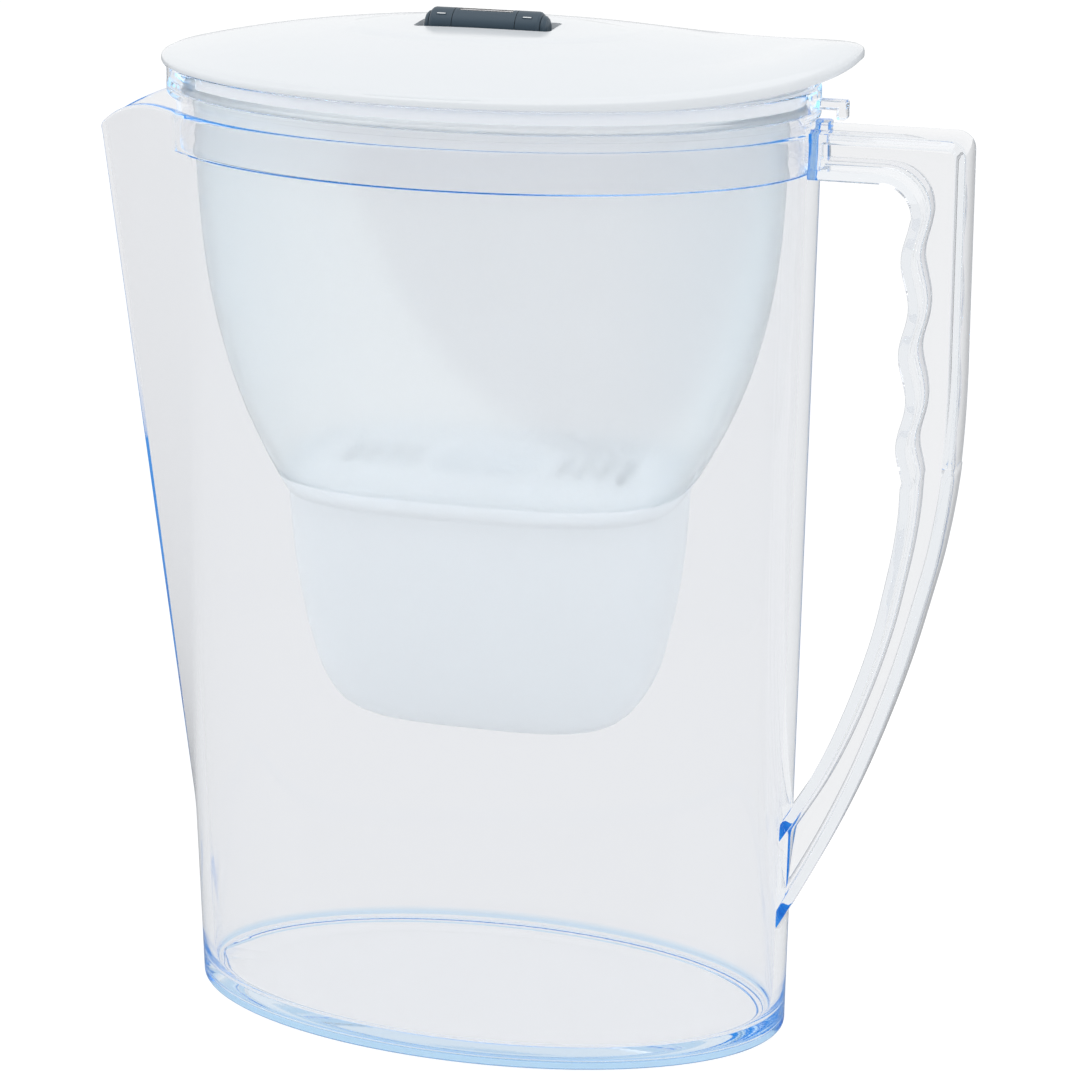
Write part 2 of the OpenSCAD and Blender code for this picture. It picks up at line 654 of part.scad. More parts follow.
// outline of the housing a little below the neck, where the top screen lies
bed_z = cup_top - bed_drop;
function bed_ring(w) = let (a = cup_ring(0, w), b = cup_ring(1, w))
    a + (b - a) * bed_drop / (a[3] - b[3]);
cap_t = 1.4;
well_z = bed_z + screen_t + 0.8 + cap_t;
module cap_plate() difference() {
    loft([raised(bowl_ring(0, bowl_wall + 0.5), cap_z),
        raised(bowl_ring(0, bowl_wall + 0.9), cap_z + cap_t),
        raised(cup_ring(0, 8), cap_z + 0.75 * cap_h), raised(cup_ring(2, 12), cap_top)]);
    loft([raised(cup_ring(0, case_in), cap_z - 1), raised(cup_ring(0, 7.6), cap_z),
        raised(cup_ring(2, 14), cap_top - cap_t)]);
    for (s = [-1, 1]) for (i = [0:3])
        translate([hop_dx + s * (well_len / 2 + cap_t + 4 + 5.6 * i) - 1, -well_wid / 2, cap_z - 1])
            cube([2, well_wid, cap_h + 2]);
}
module cartridge_cap() color(white) {
    difference() {
        union() {
            cap_plate();
            translate([hop_dx, 0, well_z - cap_t]) oval(well_len / 2 + cap_t,
                well_wid / 2 + cap_t, cap_top - well_z + cap_t, 3);
        }
        translate([hop_dx, 0, well_z]) oval(well_len / 2, well_wid / 2, cap_top, 3);
    }
    translate([hop_dx - well_len / 2 - cap_t / 2, -pull_w / 2, cap_top - pull_t - 0.2])
        cube([well_len + cap_t, pull_w, pull_t]);
}
module top_screen() color([0.9, 0.9, 0.88])
    loft([raised(bed_ring(case_in + snug), bed_z), raised(bed_ring(case_in + snug), bed_z + screen_t)]);
screen_z = cup_ring(4, case_in)[3];
module bottom_screen() color([0.9, 0.9, 0.88])
    loft([raised(cup_ring(4, case_in), screen_z),
        raised(cup_ring(4, case_in), screen_z + screen_t)]);
module filter_media() color([0.3, 0.28, 0.26])
    loft(concat([raised(cup_ring(4, case_in + 0.3), screen_z + screen_t)],
        [for (r = cup_rings(case_in + 0.3)) if (r[3] > screen_z + 3 && r[3] < bed_z - 1) r],
        [raised(bed_ring(case_in + 0.3), bed_z)]));

module hopper_collar_full() color(clear_tint) difference() {
    union() {
        hopper_collar();
        lug(lug_in);
        lug(-lug_in - lug_w);
    }
    pin_bore(pin_d / 2, -lug_in - lug_w - 1, 2 * (lug_in + lug_w + 1));
}

jug_body();
handle();
hopper_collar_full();  // hopper_collar
hopper_bowl();
cartridge_cup();
hinge_pin();
lid_shell();
lid_frame();
indicator_tray();
indicator_housing();
indicator_window();
indicator_axle();
left_end_cap();
right_end_cap();
left_knob();
left_drum();
right_knob();
right_drum();
cartridge_casing();
cartridge_cap();
cartridge_seal();
top_screen();
bottom_screen();
filter_media();
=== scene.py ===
"""Builds the visible pieces, finishes, lights and camera of a slim filter pitcher."""

import math
from types import SimpleNamespace

import bmesh
import bpy
import numpy as np
from bpy.props import FloatProperty, FloatVectorProperty, IntProperty, PointerProperty
from mathutils import Matrix, Vector


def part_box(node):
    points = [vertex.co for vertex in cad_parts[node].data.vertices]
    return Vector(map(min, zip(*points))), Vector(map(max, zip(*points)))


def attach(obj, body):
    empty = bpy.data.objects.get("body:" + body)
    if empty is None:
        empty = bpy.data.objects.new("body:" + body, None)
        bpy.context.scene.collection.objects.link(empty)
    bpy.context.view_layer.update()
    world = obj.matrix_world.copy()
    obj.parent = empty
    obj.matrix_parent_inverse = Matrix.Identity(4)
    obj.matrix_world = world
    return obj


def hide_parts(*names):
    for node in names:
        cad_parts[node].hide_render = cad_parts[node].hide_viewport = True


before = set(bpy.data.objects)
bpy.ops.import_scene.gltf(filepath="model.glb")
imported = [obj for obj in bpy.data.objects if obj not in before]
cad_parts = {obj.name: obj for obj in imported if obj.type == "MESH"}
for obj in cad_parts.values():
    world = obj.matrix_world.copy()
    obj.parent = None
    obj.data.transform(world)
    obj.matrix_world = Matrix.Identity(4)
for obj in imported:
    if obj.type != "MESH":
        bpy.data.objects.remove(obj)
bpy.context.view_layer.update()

bl_info = {
    "name": "Slim Filter Pitcher",
    "version": (1, 0, 0),
    "blender": (4, 5, 0),
    "location": "View3D > Sidebar > Pitcher",
    "description": "Builds a clear filter pitcher with a frosted hopper and a hinged white lid",
    "category": "Add Mesh",
}

MM = 0.001


# ---- sizes and colours --------------------------------------------------


def length(name, description, default_mm):
    return FloatProperty(name=name, description=description, default=default_mm * MM,
                         min=0.0, unit="LENGTH", subtype="DISTANCE", precision=4)


def count(name, description, most):
    return IntProperty(name=name, description=description, default=most, min=1, max=most)


def tint(name, description, default):
    return FloatVectorProperty(name=name, description=description, default=default,
                               min=0.0, max=1.0, size=3, subtype="COLOR")


class JugSizes(bpy.types.PropertyGroup):
    rim_height: length("Rim height", "Height of the jug rim", 248)
    base_half_length: length("Base half length", "Half length of the base oval", 82.5)
    base_half_width: length("Base half width", "Half width of the base oval", 45.3)
    rim_half_length: length("Rim half length", "Half length of the rim oval", 87.6)
    rim_half_width: length("Rim half width", "Half width of the rim oval", 50.4)
    wall: length("Wall", "Wall of the jug", 3.3)
    rim_wall: length("Rim wall", "Wall above the hopper seat", 2.2)
    seat_drop: length("Seat drop", "Depth of the hopper seat below the rim", 10.8)
    floor_height: length("Floor", "Height of the floor inside", 5)
    foot_ring: length("Foot ring", "Width of the foot ring", 4)
    groove_width: length("Groove width", "Width of the groove under the floor", 3)
    groove_depth: length("Groove depth", "Depth of the groove under the floor", 1.6)
    spout_reach: length("Spout reach", "Distance from the axis to the spout edge at the rim",
                        107.6)
    spout_start: length("Spout start", "Height at which the spout leaves the wall", 24)
    spout_wall: length("Spout wall", "Set-back of the inner spout edge", 2.0)
    spout_round: length("Spout rounding", "Radius of the outer spout edge", 1.5)
    lip_radius: length("Lip radius", "Radius of the dip in the pouring lip", 41)
    lip_start: length("Lip start", "Distance from the axis at which the lip dips", 80)


class HandleSizes(bpy.types.PropertyGroup):
    grip_reach: length("Grip reach", "Distance from the axis to the back of the grip", 126)
    grip_depth: length("Grip depth", "Depth of the grip", 14.4)
    flange_width: length("Flange width", "Width of both flanges", 15.4)
    flange: length("Flange", "Thickness of both flanges", 2.7)
    web: length("Web", "Thickness of the web", 3.2)
    arm_height: length("Arm height", "Height of the top arm", 12.1)
    outer_corner: length("Outer corner", "Radius of the outer corner", 4.6)
    inner_corner: length("Inner corner", "Radius of the inner corner", 8.3)
    dip: length("Finger dip", "Depth of each finger dip", 1.1)
    dip_pitch: length("Dip pitch", "Spacing of the finger dips", 24.3)


class HopperSizes(bpy.types.PropertyGroup):
    shift: length("Shift", "Shift of hopper and lid towards the handle", 1)
    band_half_length: length("Band half length", "Half length of the collar band", 86.3)
    band_half_width: length("Band half width", "Half width of the collar band", 50)
    band_base: length("Band base", "Height of the underside of the band", 250.4)
    band_height: length("Band height", "Height of the band", 7.6)
    collar_wall: length("Collar wall", "Wall of the collar", 1.8)
    bowl_half_length: length("Bowl half length", "Half length of the bowl at the top", 78)
    bowl_half_width: length("Bowl half width", "Half width of the bowl at the top", 44)
    bowl_wall: length("Bowl wall", "Wall of the bowl", 1.6)
    neck_half_length: length("Neck half length", "Half length at the step", 52.8)
    neck_half_width: length("Neck half width", "Half width at the step", 34.4)
    neck_height: length("Neck height", "Height of the step", 149)
    cup_wall: length("Cup wall", "Wall of the cartridge cup", 2.4)
    cup_base: length("Cup base", "Height of the underside of the cup", 84)


class LidSizes(bpy.types.PropertyGroup):
    half_length: length("Half length", "Half length of the lid at its rim", 87.1)
    half_width: length("Half width", "Half width of the lid at its rim", 50.9)
    base: length("Base", "Height of the underside of the rim", 258.3)
    edge: length("Edge", "Thickness of the rim", 2.1)
    rise: length("Rise", "Rise of the dome above the rim", 9.6)
    skin: length("Skin", "Thickness of the dome", 2)
    brim_reach: length("Brim reach", "Reach of the thumb brim beyond the rim", 10.2)
    brim_rise: length("Brim rise", "Rise of the thumb brim", 8.4)
    pad_half_length: length("Pad half length", "Half length of the raised pad", 38)
    pad_half_width: length("Pad half width", "Half width of the raised pad", 19)


class DialSizes(bpy.types.PropertyGroup):
    centre: length("Centre", "Centre of the dials along X", 0.85)
    axis_height: length("Axis height", "Height of the dial axis", 269)
    drum_radius: length("Drum radius", "Radius of the number drums", 4.05)
    figure_height: length("Figure height", "Height of the figures on the drums", 1.3)
    months: count("Months", "Figures on the left drum", 12)
    days: count("Days", "Figures on the right drum", 16)
    stretch: FloatProperty(name="Stretch", default=2.2,
                           description="Width of the figures against their height")
    barrel_radius: length("Barrel radius", "Radius of the knobs", 4.7)
    bar_start: length("Bar start", "Start of the index bars from the centre of the dials", 10.15)
    bar_length: length("Bar length", "Length of the index bars", 2.5)
    bar_rise: length("Bar rise", "Rise of the index bars above the knobs", 0.15)


class Finishes(bpy.types.PropertyGroup):
    clear: tint("Clear plastic", "Colour that the clear plastic lets through", (0.125, 0.5, 0.8))
    # colour of the painted glow that stands in for light caught in the clear plastic
    depth: tint("Depth", "Colour of light caught in the clear plastic", (0.02, 0.12, 0.3))
    foot: tint("Foot", "Tint of the thick foot of the jug", (0.54, 0.76, 0.96))
    frost: tint("Frosted plastic", "Colour of the frosted bowl", (0.985, 1.0, 1.0))
    milk: tint("Milky plastic", "Colour of the milky cup", (0.955, 0.985, 1.0))
    # painted shade of the bowl towards its two ends
    painted_end_shade: tint("Bowl ends", "Colour of the bowl towards its two ends", (0.935, 0.975, 0.99))
    # painted shade over the rounded panel in the far wall of the bowl
    panel: tint("Panel", "Colour of the flat panel in the far wall of the bowl",
                (0.9, 0.905, 0.915))
    casing: tint("Cartridge plastic", "Colour of the cartridge", (0.93, 0.95, 0.965))
    white: tint("White plastic", "Colour of the lid", (0.835, 0.86, 0.88))
    slate: tint("Slate plastic", "Colour of the date dials", (0.033, 0.062, 0.09))


PROPERTY_GROUPS = {"jug": JugSizes, "handle": HandleSizes, "hopper": HopperSizes, "lid": LidSizes,
                   "dial": DialSizes, "finish": Finishes}


def property_names(group):
    return [name for name in group.bl_rna.properties.keys() if name not in ("rna_type", "name")]


def sizes(key):
    """The values of one group as attributes, with every float divided by MM."""
    group = getattr(bpy.context.scene, "pitcher_" + key)
    values = {name: getattr(group, name) for name in property_names(group)}
    return SimpleNamespace(**{name: value / MM if isinstance(value, float) else value
                              for name, value in values.items()})


# ---- mesh helpers -------------------------------------------------------

# angles above which an edge is drawn sharp
FLAT_EDGE, CURVED_EDGE, SOFT_EDGE = 32.0, 40.0, 50.0


def new_object(name, data):
    """An object in the scene for a mesh, a light or a camera."""
    piece = bpy.data.objects.new(name, data)
    bpy.context.scene.collection.objects.link(piece)
    return piece


def raw_object(name, verts_mm, faces):
    """An object from points in millimetres, with its faces as given."""
    mesh = bpy.data.meshes.new(name)
    mesh.from_pydata([tuple(float(c) * MM for c in v) for v in verts_mm], [], faces)
    return new_object(name, mesh)


def tidy_mesh(piece, sharp=FLAT_EDGE, merge=1e-7):
    """Merges doubles, turns the faces outward and shades them smooth up to an angle."""
    mesh = piece.data
    bm = bmesh.new()
    bm.from_mesh(mesh)
    bmesh.ops.remove_doubles(bm, verts=bm.verts, dist=merge)
    bmesh.ops.dissolve_degenerate(bm, edges=bm.edges, dist=merge)
    bmesh.ops.recalc_face_normals(bm, faces=bm.faces)
    bm.to_mesh(mesh)
    bm.free()
    mesh.shade_smooth()
    mesh.set_sharp_from_angle(angle=math.radians(sharp))
    mesh.update()
    return piece


def grid_faces(rows, cols, wrap_rows=False):
    """Quads of a grid that is closed round its columns, and round its rows if asked."""
    faces = []
    for j in range(rows if wrap_rows else rows - 1):
        low, high = j * cols, ((j + 1) % rows) * cols
        for i in range(cols):
            k = (i + 1) % cols
            faces.append((low + i, low + k, high + k, high + i))
    return faces


def closed_skin(name, rings, sharp=FLAT_EDGE, start=None, end=None, wrap=False):
    """Solid through rings of equal point counts; start and end are pole points."""
    cols = len(rings[0])
    verts = [p for row in rings for p in row]
    faces = grid_faces(len(rings), cols, wrap)
    if start is not None:
        verts.append(start)
        faces += [(len(verts) - 1, (i + 1) % cols, i) for i in range(cols)]
    if end is not None:
        verts.append(end)
        base = (len(rings) - 1) * cols
        faces += [(len(verts) - 1, base + i, base + (i + 1) % cols) for i in range(cols)]
    return tidy_mesh(raw_object(name, verts, faces), sharp)


def settle(piece):
    """Applies all modifiers to the mesh."""
    deps = bpy.context.evaluated_depsgraph_get()
    made = bpy.data.meshes.new_from_object(piece.evaluated_get(deps))
    piece.modifiers.clear()
    old = piece.data
    piece.data = made
    bpy.data.meshes.remove(old)


def combine(piece, other, how, sharp=FLAT_EDGE):
    """Boolean of two closed pieces, which uses up the other one."""
    mod = piece.modifiers.new("combine", "BOOLEAN")
    mod.operation = how
    mod.solver = "EXACT"
    mod.object = other
    before = len(piece.data.polygons)
    settle(piece)
    if not piece.data.polygons:
        raise RuntimeError(f"{piece.name}: {how} left nothing of {before} faces")
    used = other.data
    bpy.data.objects.remove(other, do_unlink=True)
    bpy.data.meshes.remove(used)
    return tidy_mesh(piece, sharp, 1e-6)


def rounded_box(name, low, high, radius):
    """Box between two corners in millimetres, with rounded edges if it has a radius."""
    low, high = np.array(low, float), np.array(high, float)
    bm = bmesh.new()
    bmesh.ops.create_cube(bm, size=1.0)
    for v in bm.verts:
        v.co = Vector((low + high) / 2 + np.array(v.co) * (high - low)) * MM
    if radius:
        bmesh.ops.bevel(bm, geom=bm.edges[:], offset=radius * MM, segments=3,
                        profile=0.5, affect="EDGES", clamp_overlap=True)
    mesh = bpy.data.meshes.new(name)
    bm.to_mesh(mesh)
    bm.free()
    return tidy_mesh(new_object(name, mesh))


def prism(name, outline, low, high, axis=2):
    """Solid on a closed outline in millimetres, from low to high along an axis."""
    n = len(outline)
    verts = [(*p[:axis], level, *p[axis:]) for level in (low, high) for p in outline]
    faces = [tuple(range(n)), tuple(range(2 * n - 1, n - 1, -1))]
    faces += [(i, (i + 1) % n, n + (i + 1) % n, n + i) for i in range(n)]
    return tidy_mesh(raw_object(name, verts, faces))


def circle(x, y, radius, count=32):
    return [(x + radius * math.cos(v), y + radius * math.sin(v))
            for v in np.linspace(0, 2 * math.pi, count, endpoint=False)]


def ring(a, b, z, cols, shift=0.0, power=2.0):
    """Closed oval ring of points; power 2 is an ellipse, more is squarer."""
    t = np.linspace(0, 2 * math.pi, cols, endpoint=False)
    c, s = np.cos(t), np.sin(t)
    x = a * np.sign(c) * np.abs(c) ** (2 / power) + shift
    y = b * np.sign(s) * np.abs(s) ** (2 / power)
    return [(x[i], y[i], z) for i in range(cols)]


def between(low, high, shares):
    """Rings at shares of the way from one ring to another."""
    low, high = np.array(low), np.array(high)
    return [[tuple(p) for p in low + (high - low) * share] for share in shares]


def stack(name, specs, cols, shift, sharp=CURVED_EDGE):
    """Closed solid through oval rings (a, b, z, power), with flat ends."""
    rings = [ring(a, b, z, cols, shift, power) for a, b, z, power in specs]
    return closed_skin(name, rings, sharp, (shift, 0, specs[0][2]), (shift, 0, specs[-1][2]))


def finish_piece(piece, material, body, stands_for=()):
    """Gives a piece its finish and says what it rides on and replaces."""
    piece.data.materials.clear()
    piece.data.materials.append(material)
    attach(piece, body)
    if stands_for:
        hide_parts(*stands_for)


def smooth_path(points, steps=8):
    """Catmull-Rom curve through points, which include one guide at each end."""
    p = np.array(points, float)
    out = []
    for i in range(1, len(p) - 2):
        a, b, c, d = p[i - 1:i + 3]
        for t in np.linspace(0, 1, steps, endpoint=False):
            out.append(0.5 * (2 * b + (c - a) * t + (2 * a - 5 * b + 4 * c - d) * t ** 2
                              + (3 * b - a - 3 * c + d) * t ** 3))
    out.append(p[-2])
    return np.array(out)


def share_path(path, shares):
    """Points at given shares of the length of a path."""
    seg = np.r_[0, np.cumsum(np.linalg.norm(np.diff(path, axis=0), axis=1))]
    want = np.asarray(shares) * seg[-1]
    return np.stack([np.interp(want, seg, path[:, 0]), np.interp(want, seg, path[:, 1])], axis=1)


# ---- node trees ---------------------------------------------------------


def feed(tree, node, inputs):
    """Sets each named or numbered input of a node to a value, or links a socket to it."""
    for key, value in dict(inputs).items():
        if isinstance(value, bpy.types.NodeSocket):
            tree.links.new(value, node.inputs[key])
        else:
            node.inputs[key].default_value = value


def add(tree, kind, inputs=(), **traits):
    """A new node with its traits and inputs."""
    node = tree.nodes.new(kind)
    for key, value in traits.items():
        setattr(node, key, value)
    feed(tree, node, inputs)
    return node


def maths(tree, how, *values):
    return add(tree, "ShaderNodeMath", enumerate(values), operation=how).outputs[0]


def blend(tree, factor, a, b):
    """Mix of two colours."""
    inputs = {"Factor": factor, "A": a, "B": b}
    return add(tree, "ShaderNodeMix", inputs, data_type="RGBA").outputs["Result"]


def spread(tree, value, *limits, kind="SMOOTHSTEP"):
    """Carries a value from one range (0 to 1 if not given) to another."""
    inputs = dict(zip(("From Min", "From Max", "To Min", "To Max"), limits))
    return add(tree, "ShaderNodeMapRange", {"Value": value, **inputs},
               interpolation_type=kind).outputs[0]


def axes(tree, vector):
    """X, Y and Z of a vector."""
    return add(tree, "ShaderNodeSeparateXYZ", {0: vector}).outputs


def object_place(tree):
    return add(tree, "ShaderNodeTexCoord").outputs["Object"]


def face_normal(tree):
    return axes(tree, add(tree, "ShaderNodeNewGeometry").outputs["Normal"])


def socket_kind(value):
    """Type of socket that takes a value; None stands for a finish."""
    if isinstance(value, tuple):
        return "NodeSocketColor" if len(value) == 4 else "NodeSocketVector"
    return {int: "NodeSocketInt", float: "NodeSocketFloat"}.get(type(value), "NodeSocketMaterial")


def node_group(name, inputs, outputs, fill, kind="ShaderNodeTree"):
    """The node group of that name; fill makes its nodes on first use."""
    if name in bpy.data.node_groups:
        return bpy.data.node_groups[name]
    tree = bpy.data.node_groups.new(name, kind)
    for key, value in inputs.items():
        item = tree.interface.new_socket(name=key, in_out="INPUT", socket_type=socket_kind(value))
        if value is not None:
            item.default_value = value
    for key, made in outputs.items():
        tree.interface.new_socket(name=key, in_out="OUTPUT", socket_type="NodeSocket" + made)
    given = tree.nodes.new("NodeGroupInput").outputs
    feed(tree, tree.nodes.new("NodeGroupOutput"), fill(tree, given))
    return tree


def use_group(tree, group, inputs):
    return add(tree, "ShaderNodeGroup", inputs, node_tree=group).outputs


FINE_GRAIN = 0.15  # height of the fine grain against the slow waves
FACES_UP = -0.2  # upward share of a normal at which dust starts
LEVEL_FACE = 0.7  # upward share of a normal above which a face counts as level
UNTINTED = (0.945, 0.946, 0.956, 1)
WHITE, BLACK = (1, 1, 1, 1), (0, 0, 0, 1)


def grain_group():
    """Fine moulded grain with slow handling marks, as a height and a mask."""

    def fill(tree, given):
        place = object_place(tree)
        fine, slow = (
            add(tree, "ShaderNodeTexNoise",
                {"Vector": place, "Scale": given[key], "Detail": detail}).outputs["Fac"]
            for key, detail in (("Grain scale", 2.0), ("Wave scale", 3.0)))
        waves = maths(tree, "MULTIPLY", slow, given["Wave amount"])
        return {"Height": maths(tree, "MULTIPLY_ADD", fine, FINE_GRAIN, waves), "Mask": slow}

    inputs = {"Grain scale": 1800.0, "Wave scale": 14.0, "Wave amount": 1.0}
    return node_group("moulded grain", inputs, {"Height": "Float", "Mask": "Float"}, fill)


def dust_group():
    """Colour with faint settled dust on faces that look up, and small marks."""

    def fill(tree, given):
        patches = add(tree, "ShaderNodeTexNoise",
                      {"Vector": object_place(tree), "Scale": given["Scale"], "Detail": 4.0})
        up = spread(tree, face_normal(tree)["Z"], FACES_UP, kind="LINEAR")
        share = maths(tree, "MULTIPLY", up, patches.outputs["Fac"])
        amount = maths(tree, "MULTIPLY", share, given["Amount"])
        return {"Color": blend(tree, amount, given["Base"], given["Dust"])}

    inputs = {"Base": (0.8, 0.8, 0.8, 1), "Dust": (0.8, 0.8, 0.78, 1), "Amount": 0.1,
              "Scale": 60.0}
    return node_group("settled dust", inputs, {"Color": "Color"}, fill)


def foot_group():
    """Colour of the clear plastic, with the foot tint below a height on upright faces."""

    def fill(tree, given):
        height = axes(tree, object_place(tree))["Z"]
        above = spread(tree, height, given["Low"], given["High"])
        upward = maths(tree, "ABSOLUTE", face_normal(tree)["Z"])
        level = maths(tree, "GREATER_THAN", upward, LEVEL_FACE)
        bare = maths(tree, "MAXIMUM", above, level)
        return {"Color": blend(tree, bare, given["Tint"], UNTINTED)}

    inputs = {"Tint": (0.5, 0.7, 0.9, 1), "Low": 0.0022, "High": 0.0056}
    return node_group("tinted foot", inputs, {"Color": "Color"}, fill)


def panel_shade_group():
    """Mask for a painted shade: 1 inside the rounded panel seen at the far side of the bowl, 0
    outside it.
    """

    def fill(tree, given):
        at = axes(tree, object_place(tree))
        # the outline is drawn on an upright plane and carried back to the surface
        back = maths(tree, "SUBTRACT", given["Plane"], at["Y"])
        across = maths(tree, "MULTIPLY_ADD", back, given["Slide"], at["X"])
        up = maths(tree, "MULTIPLY_ADD", back, given["Fall"], at["Z"])
        side = maths(tree, "SUBTRACT", across, given["Middle"])
        steep = maths(tree, "MULTIPLY_ADD", side, given["Fourth"], given["Cube"])
        steep = maths(tree, "MULTIPLY_ADD", side, steep, given["Square"])
        square = maths(tree, "MULTIPLY", side, side)
        curve = maths(tree, "MULTIPLY_ADD", square, steep, given["Foot"])
        share = maths(tree, "DIVIDE", maths(tree, "SUBTRACT", up, curve), given["Edge"])
        far = maths(tree, "GREATER_THAN", at["Y"], given["Near"])
        return {"Mask": maths(tree, "MULTIPLY", spread(tree, share, -1.0), far)}

    inputs = {"Plane": 0.03, "Slide": -0.2937, "Fall": -0.3002, "Middle": 0.024, "Foot": 0.14735,
              "Square": 20.65, "Cube": 372.4, "Fourth": 4012.0, "Edge": 0.0016, "Near": 0.012}
    return node_group("painted panel shade", inputs, {"Mask": "Float"}, fill)


# ---- finishes -----------------------------------------------------------

TRAPPED = 10.5  # bounces inside a wall after which the plastic gets a painted glow in the colour of the depth
MASK_LOW, MASK_HIGH = 0.3, 0.7  # usual range of the grain's mask
FLANK_FROM, FLANK_TO = 0.036, 0.078  # distance from the middle over which the painted shade at the bowl's ends comes in
PANEL_NEAR = 0.012  # the painted panel shade lies on walls beyond this depth
NECK_LOW, NECK_HIGH, NECK_HAZE = 0.15, 0.174, 0.17  # rougher bowl between these heights


def new_material(name, inputs=()):
    """A material, its tree and its shader with these inputs."""
    made = bpy.data.materials.new(name)
    made.use_nodes = True
    tree = made.node_tree
    shader = tree.nodes["Principled BSDF"]
    feed(tree, shader, inputs)
    return made, tree, shader


def add_bump(tree, shader, height, distance, strength=1.0):
    inputs = {"Strength": strength, "Distance": distance, "Height": height}
    bump = add(tree, "ShaderNodeBump", inputs)
    feed(tree, shader, {"Normal": bump.outputs["Normal"]})


def moulded_surface(tree, shader, grain, rough, distance, strength):
    """Bump from the grain (scale, wave scale, wave amount); returns its spread of roughness."""
    inputs = dict(zip(("Grain scale", "Wave scale", "Wave amount"), grain))
    marks = use_group(tree, grain_group(), inputs)
    add_bump(tree, shader, marks["Height"], distance, strength)
    return spread(tree, marks["Mask"], MASK_LOW, MASK_HIGH, *rough, kind="LINEAR")


def dusty(tree, base, dust, amount, scale):
    inputs = {"Base": (*base, 1), "Dust": (*dust, 1), "Amount": amount, "Scale": scale}
    return use_group(tree, dust_group(), inputs)["Color"]


def add_painted_panel_shade(tree, colour, shade, near):
    """Mixes the painted shade of the panel into a colour."""
    mask = use_group(tree, panel_shade_group(), {"Near": near})["Mask"]
    return blend(tree, mask, colour, (*shade, 1))


def add_painted_end_shade(tree, colour, shade):
    """Mixes a painted shade into a colour towards the two ends of the bowl."""
    away = maths(tree, "ABSOLUTE", axes(tree, object_place(tree))["X"])
    return blend(tree, spread(tree, away, FLANK_FROM, FLANK_TO), colour, (*shade, 1))


def clear_plastic(name, ior, density, depth):
    """Polished clear plastic that turns blue in its depth, with a painted blue glow on rays caught
    in a wall.
    """
    finish = bpy.context.scene.pitcher_finish
    made, tree, shader = new_material(name, {"Transmission Weight": 1.0, "IOR": ior,
                                             "Metallic": 0.0, "Emission Strength": 1.0})
    foot = use_group(tree, foot_group(), {"Tint": (*finish.foot, 1)})
    rough = moulded_surface(tree, shader, (900.0, 22.0, 1.0), (0.0, 0.02), 0.00002, 0.6)
    # painted glow: rays turned back inside the wall many times get an emission in the colour of
    # the depth, which stands in for light caught in the plastic
    bounces = add(tree, "ShaderNodeLightPath").outputs["Glossy Depth"]
    glow = blend(tree, maths(tree, "GREATER_THAN", bounces, TRAPPED), BLACK, (*depth, 1))
    feed(tree, shader, {"Base Color": foot["Color"], "Roughness": rough, "Emission Color": glow})
    volume = add(tree, "ShaderNodeVolumeAbsorption",
                 {"Color": (*finish.clear, 1), "Density": density})
    feed(tree, tree.nodes["Material Output"], {"Volume": volume.outputs[0]})
    return made


def frosted_plastic(name, haze, rough, panel):
    """Plastic with a fine satin surface; haze is the share that scatters. With panel, the bowl
    also gets painted shade towards its ends and over the panel in its far wall.
    """
    finish = bpy.context.scene.pitcher_finish
    made, tree, shader = new_material(name, {"Transmission Weight": 1.0 - haze, "IOR": 1.2,
                                             "Metallic": 0.0})
    colour = dusty(tree, finish.frost if panel else finish.milk, (0.97, 0.98, 1), 0.2, 30.0)
    satin = moulded_surface(tree, shader, (2600.0, 9.0, 0.6), rough, 0.00002, 0.3)
    if panel:
        # painted shade towards the bowl's two ends
        colour = add_painted_end_shade(tree, colour, finish.painted_end_shade)
        # painted shade over the panel in the bowl's far wall
        colour = add_painted_panel_shade(tree, colour, finish.panel, PANEL_NEAR)
        # rougher towards the neck, which softens the sight of the cartridge below
        height = axes(tree, object_place(tree))["Z"]
        satin = maths(tree, "ADD", satin,
                      spread(tree, height, NECK_LOW, NECK_HIGH, NECK_HAZE, 0.0))
    feed(tree, shader, {"Base Color": colour, "Roughness": satin})
    return made


def solid_plastic(name, color, rough, dust, dust_color=(0.8, 0.8, 0.78), coat=0.0,
                  grain_scale=2200.0, depth=0.00003, shade=None):
    """Opaque moulded plastic with grain, handling marks and a little dust; a given shade is
    painted in inside the outline of the bowl's panel.
    """
    made, tree, shader = new_material(name, {"IOR": 1.5, "Coat Weight": coat,
                                             "Coat Roughness": 0.06})
    colour = dusty(tree, color, dust_color, dust, 45.0)
    # painted shade inside the outline of the bowl's panel, a soft shadow on the far part of the
    # cap
    if shade:
        colour = add_painted_panel_shade(tree, colour, shade, -1.0)
    satin = moulded_surface(tree, shader, (grain_scale, 18.0, 0.8), rough, depth, 0.6)
    feed(tree, shader, {"Base Color": colour, "Roughness": satin})
    return made


def screen_cloth(name, color):
    """Fine woven mesh: two crossing waves in the plane of the screen."""
    made, tree, shader = new_material(name, {"Roughness": 0.7})
    place = object_place(tree)
    waves = [add(tree, "ShaderNodeTexWave", {"Scale": 320.0, "Vector": place},
                 bands_direction=axis).outputs["Fac"] for axis in ("X", "Y")]
    top = maths(tree, "MAXIMUM", *waves)
    feed(tree, shader, {"Base Color": blend(tree, top, (0.25, 0.25, 0.24, 1), (*color, 1))})
    add_bump(tree, shader, top, 0.0003)
    return made


